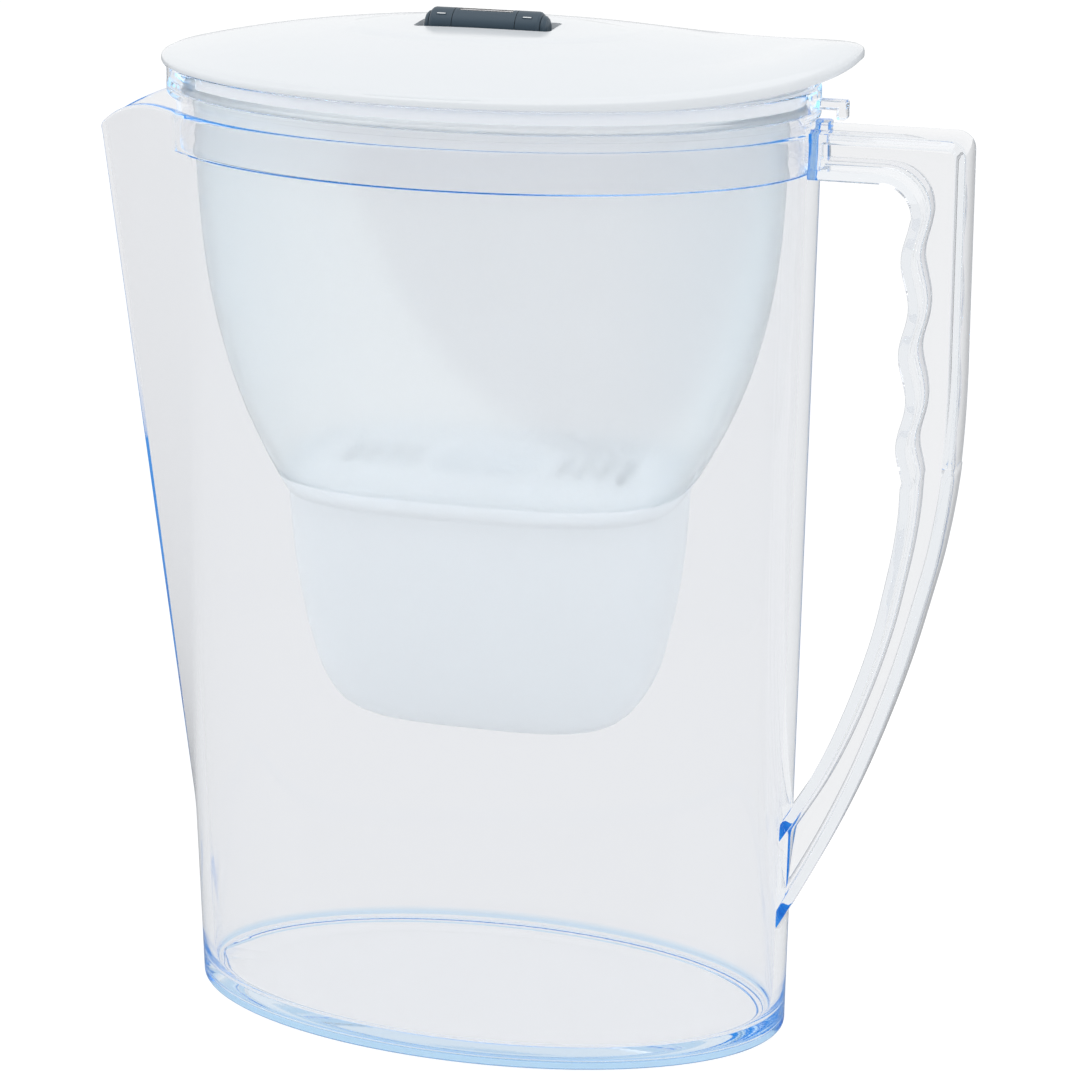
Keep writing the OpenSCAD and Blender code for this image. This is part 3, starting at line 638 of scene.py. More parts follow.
def granules(name):
    """Packed dark granules with pale beads among them."""
    made, tree, shader = new_material(name, {"Roughness": 0.8})
    cells = add(tree, "ShaderNodeTexVoronoi",
                {"Scale": 900.0, "Vector": object_place(tree)}).outputs
    first = add(tree, "ShaderNodeSeparateColor", {0: cells["Color"]}).outputs[0]
    ramp = add(tree, "ShaderNodeValToRGB", {0: first})
    dark, pale = ramp.color_ramp.elements
    dark.color, pale.color = (0.02, 0.019, 0.018, 1), (0.5, 0.46, 0.38, 1)
    dark.position = 0.55
    feed(tree, shader, {"Base Color": ramp.outputs[0]})
    add_bump(tree, shader, cells["Distance"], 0.0006)
    return made


CLEAR_INDEX, LENS_INDEX = 1.33, 1.06
# colour of the painted glow in the collar
COLLAR_GLOW = (0.25, 0.45, 0.7)
PALE_DUST = (0.93, 0.93, 0.92)
# share of the cartridge colour left in the painted shade on the far part of its cap
CASING_SHADE = 0.85
MATERIALS = {}


def make_material(key):
    finish = bpy.context.scene.pitcher_finish
    makers = {
        "clear": (clear_plastic, ("clear plastic", CLEAR_INDEX, 4.2, finish.depth), {}),
        "rim": (clear_plastic, ("clear collar", CLEAR_INDEX, 2.5, COLLAR_GLOW), {}),
        "lens": (clear_plastic, ("clear lens", LENS_INDEX, 5.5, finish.depth), {}),
        "frost": (frosted_plastic, ("frosted plastic", 0.1, (0.28, 0.3), True), {}),
        "milk": (frosted_plastic, ("milky plastic", 0.7, (0.3, 0.36), False), {}),
        "white": (solid_plastic, ("white gloss plastic", finish.white, (0.16, 0.24), 0.04),
                  {"dust_color": PALE_DUST, "coat": 0.15}),
        "casing": (solid_plastic, ("cartridge plastic", finish.casing, (0.3, 0.4), 0.03),
                   {"dust_color": PALE_DUST, "shade": [CASING_SHADE * c for c in finish.casing]}),
        "slate": (solid_plastic, ("slate plastic", finish.slate, (0.38, 0.5), 0.06),
                  {"dust_color": (0.3, 0.34, 0.36), "grain_scale": 3200.0, "depth": 0.00008}),
        # black of the drums, also painted as shade into the slot and gaps of the dials
        "drum": (solid_plastic, ("drum black", (0.012, 0.013, 0.014), (0.4, 0.5), 0.03),
                 {"dust_color": (0.2, 0.2, 0.2)}),
        # print of the figures and marks, also used for the painted highlights on the index bars
        "figures": (solid_plastic, ("figure print", (0.85, 0.87, 0.88), (0.45, 0.55), 0.02), {}),
        "seal": (solid_plastic, ("seal rubber", (0.36, 0.41, 0.44), (0.55, 0.7), 0.1),
                 {"grain_scale": 2600.0, "depth": 0.00008}),
        "screen": (screen_cloth, ("screen mesh", (0.8, 0.8, 0.78)), {}),
        "media": (granules, ("filter granules",), {}),
    }
    maker, given, named = makers[key]
    return maker(*given, **named)


def material(key):
    """The finish of that name, made on first use."""
    if key not in MATERIALS:
        MATERIALS[key] = make_material(key)
    return MATERIALS[key]


def dress_nodes(key, *nodes):
    """Puts a finish on carried-over parts."""
    for node in nodes:
        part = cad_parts[node]
        part.data.materials.clear()
        part.data.materials.append(material(key))


# ---- stage --------------------------------------------------------------

CAMERA = {"azimuth": 17.5, "elevation": 18.1425, "distance": 1025.3, "aim_height": 131.65,
          "lens": 128.64, "shift": 0.04859, "roll": -0.3243}
FLOOR_HALF = 4000.0
ROOM_HEIGHT = 0.8  # how much a way that points up counts as one that points to the bright wall
ROOM_DIM, ROOM_BRIGHT = -0.35, 0.3  # where the dim room ends and the bright wall starts
DIM_SHINE, DIM_THROUGH = (0.2, 0.21, 0.22, 1), (0.6, 0.61, 0.62, 1)
FILL_THROUGH, FILL_OPEN = (1.23, 1.245, 1.26, 1), (0.76, 0.77, 0.785, 1)
FLOOR_COLOURS = ((0.86, 0.87, 0.88, 1), (0.88, 0.89, 0.9, 1))
FLOOR_SHINE = (0.3, 0.31, 0.32, 1)
FLOOR_GLOW, GLOW_SHARE = 1.15, 0.75
SOFTBOXES = (  # name, place, aim, size, power, colour
    ("top_softbox", (0.1, -0.2, 1.5), (0, 0, 0.1), (1.6, 1.2), 4.2, (1, 1, 1)),
    ("left_softbox", (-1.5, -0.7, 0.7), (0, 0, 0.15), (0.9, 1.3), 2.2, (0.97, 0.985, 1)),
    ("right_softbox", (1.4, -0.9, 0.6), (0, 0, 0.15), (0.6, 1.2), 1.4, (1, 0.99, 0.98)),
)


def place_camera():
    a, e = math.radians(CAMERA["azimuth"]), math.radians(CAMERA["elevation"])
    away = Vector((math.sin(a) * math.cos(e), -math.cos(a) * math.cos(e), math.sin(e)))
    spot = Vector((0, 0, CAMERA["aim_height"])) * MM + away * CAMERA["distance"] * MM
    right = Vector((math.cos(a), math.sin(a), 0))
    up = right.cross(-away)
    roll = math.radians(CAMERA["roll"])
    r = math.cos(roll) * right + math.sin(roll) * up
    u = math.cos(roll) * up - math.sin(roll) * right
    data = bpy.data.cameras.new("camera")
    data.sensor_width, data.lens, data.shift_x = 36.0, CAMERA["lens"], CAMERA["shift"]
    data.clip_start, data.clip_end = 0.01, 50.0
    camera = new_object("camera", data)
    turn = Matrix((r, u, away)).transposed().to_4x4()
    camera.matrix_world = Matrix.Translation(spot) @ turn
    bpy.context.scene.camera = camera


def soft_light(name, spot, aim, size, power, color):
    data = bpy.data.lights.new(name, "AREA")
    data.shape, data.size, data.size_y = "RECTANGLE", size[0], size[1]
    data.energy, data.color = power, color
    turn = (Vector(aim) - Vector(spot)).to_track_quat("-Z", "Y").to_matrix().to_4x4()
    new_object(name, data).matrix_world = Matrix.Translation(spot) @ turn


def light_room(tree):
    """Gives the surround the brightness that each kind of ray meets."""
    path = add(tree, "ShaderNodeLightPath").outputs
    # what clear and glossy surfaces show: a bright wall behind, a dim room behind the camera
    way = axes(tree, add(tree, "ShaderNodeTexCoord").outputs["Generated"])
    behind = maths(tree, "MULTIPLY_ADD", way["Z"], ROOM_HEIGHT, way["Y"])
    dim = blend(tree, path["Is Transmission Ray"], DIM_SHINE, DIM_THROUGH)
    shown = blend(tree, spread(tree, behind, ROOM_DIM, ROOM_BRIGHT), dim, WHITE)
    # light for surfaces: softer on those in the open than on those behind clear walls
    matt = maths(tree, "GREATER_THAN", path["Diffuse Depth"], 0.5)
    fill = blend(tree, path["Is Diffuse Ray"], FILL_THROUGH, FILL_OPEN)
    room = blend(tree, matt, shown, fill)
    seen = blend(tree, path["Is Camera Ray"], room, WHITE)
    feed(tree, tree.nodes["Background"], {"Color": seen})


def floor_finish():
    """Pale floor that glows for rays that should meet the white background."""
    made, tree, shader = new_material("pale floor", {"Roughness": 0.9})
    path = add(tree, "ShaderNodeLightPath").outputs
    noise = add(tree, "ShaderNodeTexNoise", {"Scale": 8.0}).outputs["Fac"]
    pale = blend(tree, noise, *FLOOR_COLOURS)
    feed(tree, shader, {"Base Color": blend(tree, path["Is Glossy Ray"], pale, FLOOR_SHINE)})
    glow = add(tree, "ShaderNodeEmission", {"Color": WHITE, "Strength": FLOOR_GLOW}).outputs[0]
    matt = shader.outputs[0]
    both = add(tree, "ShaderNodeMixShader", {0: GLOW_SHARE, 1: matt, 2: glow}).outputs[0]
    seen = maths(tree, "MAXIMUM", path["Is Camera Ray"], path["Is Transmission Ray"])
    pick = add(tree, "ShaderNodeMixShader", {0: seen, 1: matt, 2: both}).outputs[0]
    feed(tree, tree.nodes["Material Output"], {"Surface": pick})
    return made


class PITCHER_OT_stage(bpy.types.Operator):
    """Make the camera, the pale floor, the white surround and the soft lights"""

    bl_idname = "pitcher.stage"
    bl_label = "Stage"

    def execute(self, context):
        place_camera()
        scene = context.scene
        scene.view_settings.view_transform = "Standard"
        # long ways through several walls of clear plastic
        scene.cycles.blur_glossy = 0.0
        scene.cycles.max_bounces = 32
        scene.cycles.transmission_bounces = 32
        scene.cycles.glossy_bounces = 12
        scene.cycles.diffuse_bounces = 6
        world = bpy.data.worlds.new("studio")
        scene.world = world
        world.use_nodes = True
        light_room(world.node_tree)
        corners = [(x * FLOOR_HALF, y * FLOOR_HALF, 0)
                   for x, y in ((-1, -1), (1, -1), (1, 1), (-1, 1))]
        floor = raw_object("floor", corners, [(0, 1, 2, 3)])
        floor.data.materials.append(floor_finish())
        for softbox in SOFTBOXES:
            soft_light(*softbox)
        return {"FINISHED"}


# ---- jug ----------------------------------------------------------------

STRAIGHT_TOP = 235.0  # the jug's outer rings are level up to this height and follow the lip above
POINT = 0.1  # edge radius that leaves an oval without a spout
INNER_ROUND = 0.6  # radius of the spout's inner bend
ROOT_FROM = 5  # first point of the handle's profile that is filled at its root
CATCH = ((84, -3, 246), (3.0, 3, 250.1))  # low corner, and high corner counted from the rim's end


def spout_hull(angle, a, b, centre, radius):
    """Distance from the axis to the hull of an oval and a round edge at -centre on X."""
    turn = np.abs((angle + math.pi) % (2 * math.pi) - math.pi)
    oval = a * b / np.sqrt((b * np.cos(turn)) ** 2 + (a * np.sin(turn)) ** 2)
    if centre + radius <= a + 1e-6:
        return oval

    def gap(n):
        return math.hypot(a * math.cos(n), b * math.sin(n)) - (radius - centre * math.cos(n))

    low, high = math.pi / 2, math.pi
    for _ in range(60):
        mid = (low + high) / 2
        low, high = (mid, high) if gap(mid) > 0 else (low, mid)
    n = (low + high) / 2
    reach = math.hypot(a * math.cos(n), b * math.sin(n))
    leave = math.atan2(b * b * math.sin(n), a * a * math.cos(n))
    meet = math.atan2(radius * math.sin(n), radius * math.cos(n) - centre)
    line = reach / np.cos(turn - n)
    inside = np.maximum(radius ** 2 - (centre * np.sin(turn)) ** 2, 0)
    edge = -centre * np.cos(turn) + np.sqrt(inside)
    return np.where(turn <= leave, oval, np.where(turn < meet, line, edge))


def jug_angles():
    """Angles round the jug, closer together towards the spout."""
    spans = ((0, 30, 1.25), (30, 150, 2.0), (150, 168, 1.0), (168, 177, 0.6), (177, 179.2, 0.25),
             (179.2, 180, 0.1))
    half = np.r_[tuple(np.arange(*span) for span in spans) + (180.0,)]
    return np.radians(np.r_[half, 360 - half[-2:0:-1]])


class JugForm:
    """Sections of the jug at any height."""

    def __init__(self, s):
        self.s = s
        self.angles = jug_angles()
        start = self.half_length(s.spout_start)
        self.slope = (s.spout_reach - start) / (s.rim_height - s.spout_start)

    def half_length(self, z):
        s = self.s
        return s.base_half_length + (s.rim_half_length - s.base_half_length) * z / s.rim_height

    def half_width(self, z):
        s = self.s
        return s.base_half_width + (s.rim_half_width - s.base_half_width) * z / s.rim_height

    def tip(self, z):
        return self.s.spout_reach - self.slope * (self.s.rim_height - z)

    def outer(self, z, inset=0.0):
        s = self.s
        radius = max(s.spout_round - inset, 0.2)
        return spout_hull(self.angles, self.half_length(z) - inset, self.half_width(z) - inset,
                          self.tip(z) - s.spout_round, radius)

    def inner(self, z, wall, out=0.0):
        s = self.s
        a, b = self.half_length(z), self.half_width(z)
        far = spout_hull(self.angles, a - s.wall + out, b - s.wall + out,
                         self.tip(z) - s.spout_wall - INNER_ROUND, INNER_ROUND + out)
        near = spout_hull(self.angles, a - wall + out, b - wall + out, 0, POINT)
        return np.maximum(far, near)

    def lip(self, x):
        s = self.s
        over = np.clip(-x - s.lip_start, 0, s.lip_radius * 0.95)
        return s.rim_height - s.lip_radius + np.sqrt(s.lip_radius ** 2 - over ** 2)

    def ring(self, radius, z):
        z = np.broadcast_to(z, radius.shape)
        return list(zip(radius * np.cos(self.angles), radius * np.sin(self.angles), z))

    def level_rings(self, radius_at, heights):
        return [self.ring(radius_at(z), float(z)) for z in heights]

    def oval(self, a, b, z):
        """Level ring without a spout."""
        return self.ring(spout_hull(self.angles, a, b, 0, POINT), z)

    def rim_ring(self, radius_at, drop_by):
        """Ring that follows the dipped lip, drop_by below it."""
        low, high = (radius_at(v) for v in (STRAIGHT_TOP, self.s.rim_height))
        radius = high
        for _ in range(3):
            z = self.lip(radius * np.cos(self.angles))
            share = (z - STRAIGHT_TOP) / (self.s.rim_height - STRAIGHT_TOP)
            radius = low + (high - low) * share
        return self.ring(radius, z - drop_by)


def make_jug(form):
    s = form.s
    base_a, base_b = s.base_half_length, s.base_half_width
    foot = s.foot_ring + s.groove_width
    rings = [form.oval((base_a - foot) * share, (base_b - foot) * share, 0.2)
             for share in (0.15, 0.4, 0.65, 0.85)]
    for inset, z in ((foot + 0.5, 0.2), (foot + 0.1, 0.3), (foot, 0.6),
                     (foot - 0.1, s.groove_depth - 0.3), (foot - 0.5, s.groove_depth),
                     (s.foot_ring + 0.5, s.groove_depth),
                     (s.foot_ring + 0.1, s.groove_depth - 0.3),
                     (s.foot_ring, 0.5), (s.foot_ring - 0.1, 0.15), (s.foot_ring - 0.5, 0.02),
                     (1.7, 0.02), (0.95, 0.18), (0.42, 0.6), (0.1, 1.1), (0.0, 1.7)):
        rings.append(form.ring(form.outer(z, inset), z))
    rings += form.level_rings(form.outer, (
        3, 5, 8, 12, 16, 20, 22, 24, 25, 26, 27.5, 29.5, 32, 36, 42, 50, 60, 72, 84, 96, 108, 120,
        132, 144, 156, 168, 180, 192, 204, 214, 222, 228, 232, STRAIGHT_TOP))
    rings += between(rings[-1], form.rim_ring(form.outer, 1.0), (0.25, 0.5, 0.75))
    for inset, down in ((0.0, 1.0), (0.08, 0.62), (0.3, 0.28), (0.62, 0.08), (1.0, 0.0)):
        rings.append(form.rim_ring(lambda v: form.outer(v, inset), down))
    for out, down in ((0.6, 0.0), (0.3, 0.09), (0.09, 0.3), (0.0, 0.6)):
        rings.append(form.rim_ring(lambda v: form.inner(v, s.rim_wall, out), down))
    seat = s.rim_height - s.seat_drop
    above_seat = form.ring(form.inner(seat + 0.3, s.rim_wall), seat + 0.3)
    rings += between(rings[-1], above_seat, (0.33, 0.66)) + [above_seat]
    for at, wall, z in ((seat, s.rim_wall + 0.3, seat), (seat, s.wall - 0.25, seat),
                        (seat - 0.25, s.wall, seat - 0.25)):
        rings.append(form.ring(form.inner(at, wall), z))
    rings += form.level_rings(lambda z: form.inner(z, s.wall), (
        233, 228, 220, 208, 196, 184, 172, 160, 148, 136, 124, 112, 100, 88, 76, 66, 57, 50, 44,
        40, 37, 35, 33.5, 32, 30, 26, 20, 14, 9.5))
    floor_z = s.floor_height
    for inset, up in ((0.0, 3.0), (0.25, 1.8), (0.85, 0.8), (1.8, 0.2), (3.0, 0.0)):
        rings.append(form.oval(base_a - s.wall - inset, base_b - s.wall - inset, floor_z + up))
    for share in (0.85, 0.6, 0.3, 0.1):
        rings.append(form.oval((base_a - s.wall - 3) * share, (base_b - s.wall - 3) * share,
                               floor_z))
    return closed_skin("clear_jug", rings, CURVED_EDGE, (0, 0, 0.2), (0, 0, floor_z))


def jug_core(form, inset):
    """Solid inside of the jug's outer face, to trim what grows out of it."""
    rings = form.level_rings(lambda z: form.outer(z, inset), (-1, 24, 120, STRAIGHT_TOP, 260))
    return closed_skin("jug_core", rings, start=(0, 0, -1), end=(0, 0, 260))


def handle_paths(h, rim_height):
    """Back and front edges of the bow as matching points (x, z)."""
    top = rim_height + 0.3
    under = top - h.arm_height
    grip_in = h.grip_reach - h.grip_depth
    back, front, root = [], [], []
    for x in (79.0, 82.0, 85.0, 87.0, 88.7, 89.2, 89.6, 90.2, 92.0, 95.0, 98.0, 101.0):
        back.append((x, top))
        front.append((x, under))
        root.append(x < 89.4)
    inner = (grip_in + h.dip - h.inner_corner, under - h.inner_corner)
    outer = (h.grip_reach - h.outer_corner, top - h.outer_corner)
    for k in range(0, 19):
        t = math.radians(90 - 5 * k)
        front.append((inner[0] + h.inner_corner * math.cos(t),
                      inner[1] + h.inner_corner * math.sin(t)))
        if k <= 5:
            back.append((inner[0] + (outer[0] - inner[0]) * k / 5, top))
        elif k <= 13:
            w = math.radians(90 * (1 - (k - 5) / 8))
            back.append((outer[0] + h.outer_corner * math.cos(w),
                         outer[1] + h.outer_corner * math.sin(w)))
        else:
            back.append((h.grip_reach, outer[1] + (inner[1] - outer[1]) * (k - 13) / 5))
        root.append(False)
    crest = under - 7.0
    z = inner[1] - 1.4
    while z > 159:
        bend = 0.0 if z > 186 else 0.7 * ((186 - z) / 23) ** 2
        back.append((h.grip_reach - bend, z + 3.0 * (inner[1] - z) / 69))
        wave = math.cos(2 * math.pi * (z - crest) / h.dip_pitch)
        front.append((grip_in - 0.1 + h.dip * wave, z))
        root.append(False)
        z -= 1.4
    back_curve = smooth_path([(h.grip_reach - d, v) for d, v in (
        (0.0, 186), (0.75, 162), (3.7, 141), (7.7, 124), (12.2, 107.2), (17.8, 90), (24.5, 72.2),
        (32.7, 54), (43.2, 33.8), (48, 26), (52, 18))])
    front_curve = smooth_path([(grip_in - d, v) for d, v in (
        (-0.6, 175), (-0.25, 157.8), (0.1, 150), (1.2, 141), (3.2, 130.4), (5.5, 119.3),
        (8.7, 108),
        (12.6, 96.5), (17.2, 84.9), (22.8, 73.4), (30.5, 60.5), (36, 52), (40, 46))])
    shares = np.linspace(0, 1, 70)
    back += [tuple(p) for p in share_path(back_curve, shares)]
    front += [tuple(p) for p in share_path(front_curve, shares)]
    root += [False] * 70
    return np.array(back), np.array(front), root


def path_normals(path, side):
    d = np.gradient(path, axis=0)
    n = np.stack([d[:, 1], -d[:, 0]], axis=1) * side
    return n / np.linalg.norm(n, axis=1, keepdims=True)


def make_handle(form, h):
    back, front, root = handle_paths(h, form.s.rim_height)
    into_back, into_front = path_normals(back, 1.0), path_normals(front, -1.0)
    half, web = h.flange_width / 2, h.web / 2
    t = h.flange
    profile = ((0, half - 0.9), (0.22, half - 0.25), (0.75, half), (t - 0.5, half),
               (t - 0.1, half - 0.12),
               (t, half - 0.45), (t + 0.02, web + 1.3), (t + 0.3, web + 0.45), (t + 1.0, web))
    rings = []
    for i, filled in enumerate(root):
        shape = [(depth, half - 0.45 + 0.02 * (k - ROOT_FROM) if filled and k >= ROOT_FROM else y)
                 for k, (depth, y) in enumerate(profile)]
        side = [(back[i] + into_back[i] * depth, y) for depth, y in shape]
        side += [(front[i] + into_front[i] * depth, y) for depth, y in reversed(shape)]
        rings.append([(p[0], y, p[1]) for p, y in side]
                     + [(p[0], -y, p[1]) for p, y in reversed(side)])
    first, last = np.mean(rings[0], axis=0), np.mean(rings[-1], axis=0)
    handle = closed_skin("handle_bow", rings, CURVED_EDGE, tuple(first), tuple(last))
    low, (out, *high) = CATCH
    catch = rounded_box("catch", low, (form.s.rim_half_length + out, *high), 0.5)
    combine(handle, catch, "UNION", CURVED_EDGE)
    return combine(handle, jug_core(form, 1.2), "DIFFERENCE", CURVED_EDGE)


class PITCHER_OT_jug(bpy.types.Operator):
    """Make the clear jug with its spout, and the bow handle moulded to it"""

    bl_idname = "pitcher.jug"
    bl_label = "Jug and handle"

    def execute(self, context):
        form = JugForm(sizes("jug"))
        jug = make_jug(form)
        handle = make_handle(form, sizes("handle"))
        combine(jug, handle, "UNION", CURVED_EDGE)
        finish_piece(jug, material("clear"), "jug", ("jug_body", "handle"))
        return {"FINISHED"}


# ---- hopper -------------------------------------------------------------


def even_oval_angles(cols, a, b):
    """Angles that space points evenly round an oval."""
    t = np.linspace(0, 2 * math.pi, 2048)
    x, y = a * np.cos(t), b * np.sin(t)
    run = np.r_[0, np.cumsum(np.hypot(np.diff(x), np.diff(y)))]
    return np.interp(np.linspace(0, run[-1], cols, endpoint=False), run, t)


NOTCH = 13.8  # half width of the gap in the band for the hinge
# the gap starts this far above the band's base and keeps this share of the height above it
NOTCH_RISE, NOTCH_SQUASH = 2.6, 0.08
HINGE_X, HINGE_Z = -83.7, 257.4


def hinge_rod(name, radius, low, high):
    """Closed cylinder round the hinge axis, from low to high along Y."""
    return prism(name, circle(HINGE_X, HINGE_Z, radius), low, high, axis=1)


def make_collar(h):
    a, b, base, high = h.band_half_length, h.band_half_width, h.band_base, h.band_height
    w, top = h.collar_wall, h.band_base + h.band_height
    step, ledge, foot = 2.4, 1.6, 237.2
    section = [(0.4, base), (0.1, base + 0.1), (0.0, base + 0.45), (0.0, base + high * 0.5),
               (0.0, top - 0.5), (0.12, top - 0.14), (0.45, top), (w - 0.45, top),
               (w - 0.12, top - 0.14), (w, top - 0.5),
               (w, base + ledge + 0.5), (w + 0.15, base + ledge + 0.12), (w + 0.5, base + ledge),
               (step + w - 0.3, base + ledge), (step + w, base + ledge - 0.3),
               (step + w, foot + 4),
               (step + w, foot + 0.3), (step + w - 0.1, foot + 0.08), (step + w - 0.35, foot),
               (step + 0.35, foot), (step + 0.1, foot + 0.08), (step, foot + 0.35),
               (step, foot + 4),
               (step, base - 0.4), (step - 0.15, base - 0.1), (step - 0.5, base)]
    angles = even_oval_angles(232, a, b)
    edge = math.pi - math.asin(NOTCH / b)
    angles = np.sort(np.r_[angles, edge - 0.002, edge + 0.002, 2 * math.pi - edge - 0.002,
                           2 * math.pi - edge + 0.002])
    rings = []
    for inset, z in section:
        loop = []
        for t in angles:
            x, y = (a - inset) * math.cos(t), (b - inset) * math.sin(t)
            level = z
            if math.cos(t) < 0 and abs(b * math.sin(t)) < NOTCH and z > base + NOTCH_RISE:
                level = base + NOTCH_RISE + (z - base - NOTCH_RISE) * NOTCH_SQUASH
            loop.append((x + h.shift, y, level))
        rings.append(loop)
    collar = closed_skin("hopper_collar_clear", rings, CURVED_EDGE, wrap=True)
    end = h.shift + a
    arm = rounded_box("hook_arm", (end - 1.2, -2.5, base + 2.7), (end + 7.4, 2.5, base + 5.0), 0.6)
    claw = rounded_box("hook_claw", (end + 4.8, -2.5, base + 0.2),
                       (end + 7.4, 2.5, base + 4.9), 0.7)
    combine(arm, claw, "UNION", CURVED_EDGE)
    combine(collar, arm, "UNION", CURVED_EDGE)
    for low in (-8, 5):
        lug = rounded_box("lug", (HINGE_X, low, base + ledge - 0.4),
                          (HINGE_X + 2.9, low + 3, HINGE_Z + 0.5), 0.3)
        combine(lug, hinge_rod("lug_eye", 1.6, low, low + 3), "UNION", CURVED_EDGE)
        combine(collar, lug, "UNION", CURVED_EDGE)
    return collar


def bowl_ring(h, t, inset):
    f, g = 1 - (1 - t) ** 2.7, 1 - (1 - t) ** 2.4
    top = h.band_base + 1.6
    return (h.neck_half_length + (h.bowl_half_length - h.neck_half_length) * f - inset,
            h.neck_half_width + (h.bowl_half_width - h.neck_half_width) * g - inset,
            h.neck_height + (top - h.neck_height) * t, 2.1 + 1.1 * (1 - t) ** 2)


HOLE_PITCH = 9  # spacing of the holes under the cup and the slots above them
CUP_SHAPE = ((0.985, 0.98, 0.0), (0.976, 0.970, 0.12), (0.962, 0.952, 0.28), (0.940, 0.928, 0.42),
             (0.91, 0.892, 0.57), (0.868, 0.835, 0.72), (0.845, 0.80, 0.785), (0.82, 0.765, 0.835),
             (0.79, 0.722, 0.882), (0.755, 0.675, 0.92), (0.71, 0.612, 0.952),
             (0.66, 0.545, 0.975),
             (0.60, 0.465, 0.99), (0.53, 0.38, 1.0))


def cup_ring(h, share_x, share_y, depth, inset):
    top = h.neck_height - 1.6
    deep = top - h.cup_base
    return (h.neck_half_length * share_x - inset, h.neck_half_width * share_y - inset,
            top - (deep - inset) * depth, 3.1)


def make_bowl(h):
    top = h.band_base + 1.6
    wall, rim = h.bowl_wall, h.band_half_length - h.collar_wall - 0.4
    rim_b = h.band_half_width - h.collar_wall - 0.4
    specs = [cup_ring(h, x, y, d, 0.0) for x, y, d in reversed(CUP_SHAPE)]
    a, b, z, _ = specs[-1]
    specs += [(a + 0.05, b + 0.05, z + 0.2, 3.1), (a + 0.5, b + 0.45, z + 0.9, 3.15)]
    specs += [bowl_ring(h, t, 0.0) for t in np.linspace(0, 1, 30)[:-1]]
    a, b, z, power = bowl_ring(h, 1.0, 0.0)
    specs += [(a, b, top - 0.4, power), (a + 0.4, b + 0.3, top, power),
              (rim - 0.3, rim_b - 0.3, top, 2.0), (rim, rim_b, top + 0.3, 2.0),
              (rim, rim_b, top + wall - 0.3, 2.0), (rim - 0.3, rim_b - 0.3, top + wall, 2.0),
              (a - wall + 0.7, b - wall + 0.7, top + wall, power),
              (a - wall + 0.2, b - wall + 0.2, top + wall - 0.2, power),
              (a - wall, b - wall, top + wall - 0.7, power)]
    specs += [bowl_ring(h, t, wall) for t in np.linspace(1, 0, 30)[1:]]
    cup = [cup_ring(h, x, y, d, h.cup_wall) for x, y, d in CUP_SHAPE]
    a, b, z, power = cup[0]
    specs += [(a + 0.4, b + 0.4, h.neck_height, power), (a, b, h.neck_height - 0.4, power)] + cup
    bowl = stack("frosted_hopper", specs, 224, h.shift, SOFT_EDGE)
    for k in range(-2, 3):
        hole = prism("drip_hole", circle(h.shift + HOLE_PITCH * k, 0, 2.5), h.cup_base - 4,
                     h.cup_base + 8)
        combine(bowl, hole, "DIFFERENCE", SOFT_EDGE)
    gap = rounded_box("hinge_gap", (HINGE_X - 6, -NOTCH, top - 1),
                      (HINGE_X + 4, NOTCH, top + 6), 0)
    return combine(bowl, gap, "DIFFERENCE", SOFT_EDGE)


class PITCHER_OT_hopper(bpy.types.Operator):
    """Make the clear collar and the frosted bowl with its cartridge cup"""

    bl_idname = "pitcher.hopper"
    bl_label = "Hopper"

    def execute(self, context):
        h = sizes("hopper")
        finish_piece(make_collar(h), material("rim"), "hopper", ("hopper_collar",))
        bowl = make_bowl(h)
        finish_piece(bowl, material("frost"), "hopper", ("hopper_bowl", "cartridge_cup"))
        bowl.data.materials.append(material("milk"))
        step = (h.neck_height + 2.6) * MM
        for face in bowl.data.polygons:
            if face.center.z < step:
                face.material_index = 1
        dress_nodes("white", "hinge_pin")
        return {"FINISHED"}


# ---- lid ----------------------------------------------------------------


def wane(turn, width, power):
    """Falls from 1 towards 0 away from the middle."""
    return np.exp(-(np.abs(turn) / width) ** power)


def ease(v):
    """Rises smoothly from 0 to 1."""
    v = np.clip(v, 0, 1)
    return v * v * (3 - 2 * v)


PAD_CENTRE = 0.85
TRAY_WALL = 1.4
LID_FLAT = 0.93  # share of the lid beyond which its underside meets the edge
EDGE_DEEP = 3.2  # greatest depth of the edge


class LidForm:
    """Top and underside of the lid over its outline."""

    def __init__(self, s, shift, cols=256):
        self.s, self.shift = s, shift - 0.4
        self.t = even_oval_angles(cols, s.half_length, s.half_width)
        self.turn = np.degrees(np.where(self.t > math.pi, self.t - 2 * math.pi, self.t))
        n = np.stack([np.cos(self.t) / s.half_length, np.sin(self.t) / s.half_width])
        n /= np.linalg.norm(n, axis=0)
        reach = s.brim_reach * wane(self.turn, 35.5, 2.2)
        oval = np.stack([s.half_length * np.cos(self.t), s.half_width * np.sin(self.t)])
        self.edge = oval + reach * n
        self.normal = n

    def top(self, u, x, y):
        s = self.s
        q = 2.65 + 0.35 * np.cos(self.t)
        z = s.base + s.edge + s.rise * (1 - u ** q)
        z = z + s.brim_rise * wane(self.turn, 31.5, 1.5) * ease((u - 0.7) / 0.3)
        pad = np.sqrt(((x - PAD_CENTRE) / s.pad_half_length) ** 2 + (y / s.pad_half_width) ** 2)
        return z - 0.5 * wane(pad, 1.7, 4.0) + 0.5 * (1 - ease((pad - 0.93) / 0.12))

    def ring(self, u, lower=0.0, out=0.0):
        x = self.shift + u * self.edge[0] + out * self.normal[0]
        y = u * self.edge[1] + out * self.normal[1]
        return x, y, self.top(u, x, y) - lower

    def middle(self):
        return float(self.ring(0.0)[2][0])


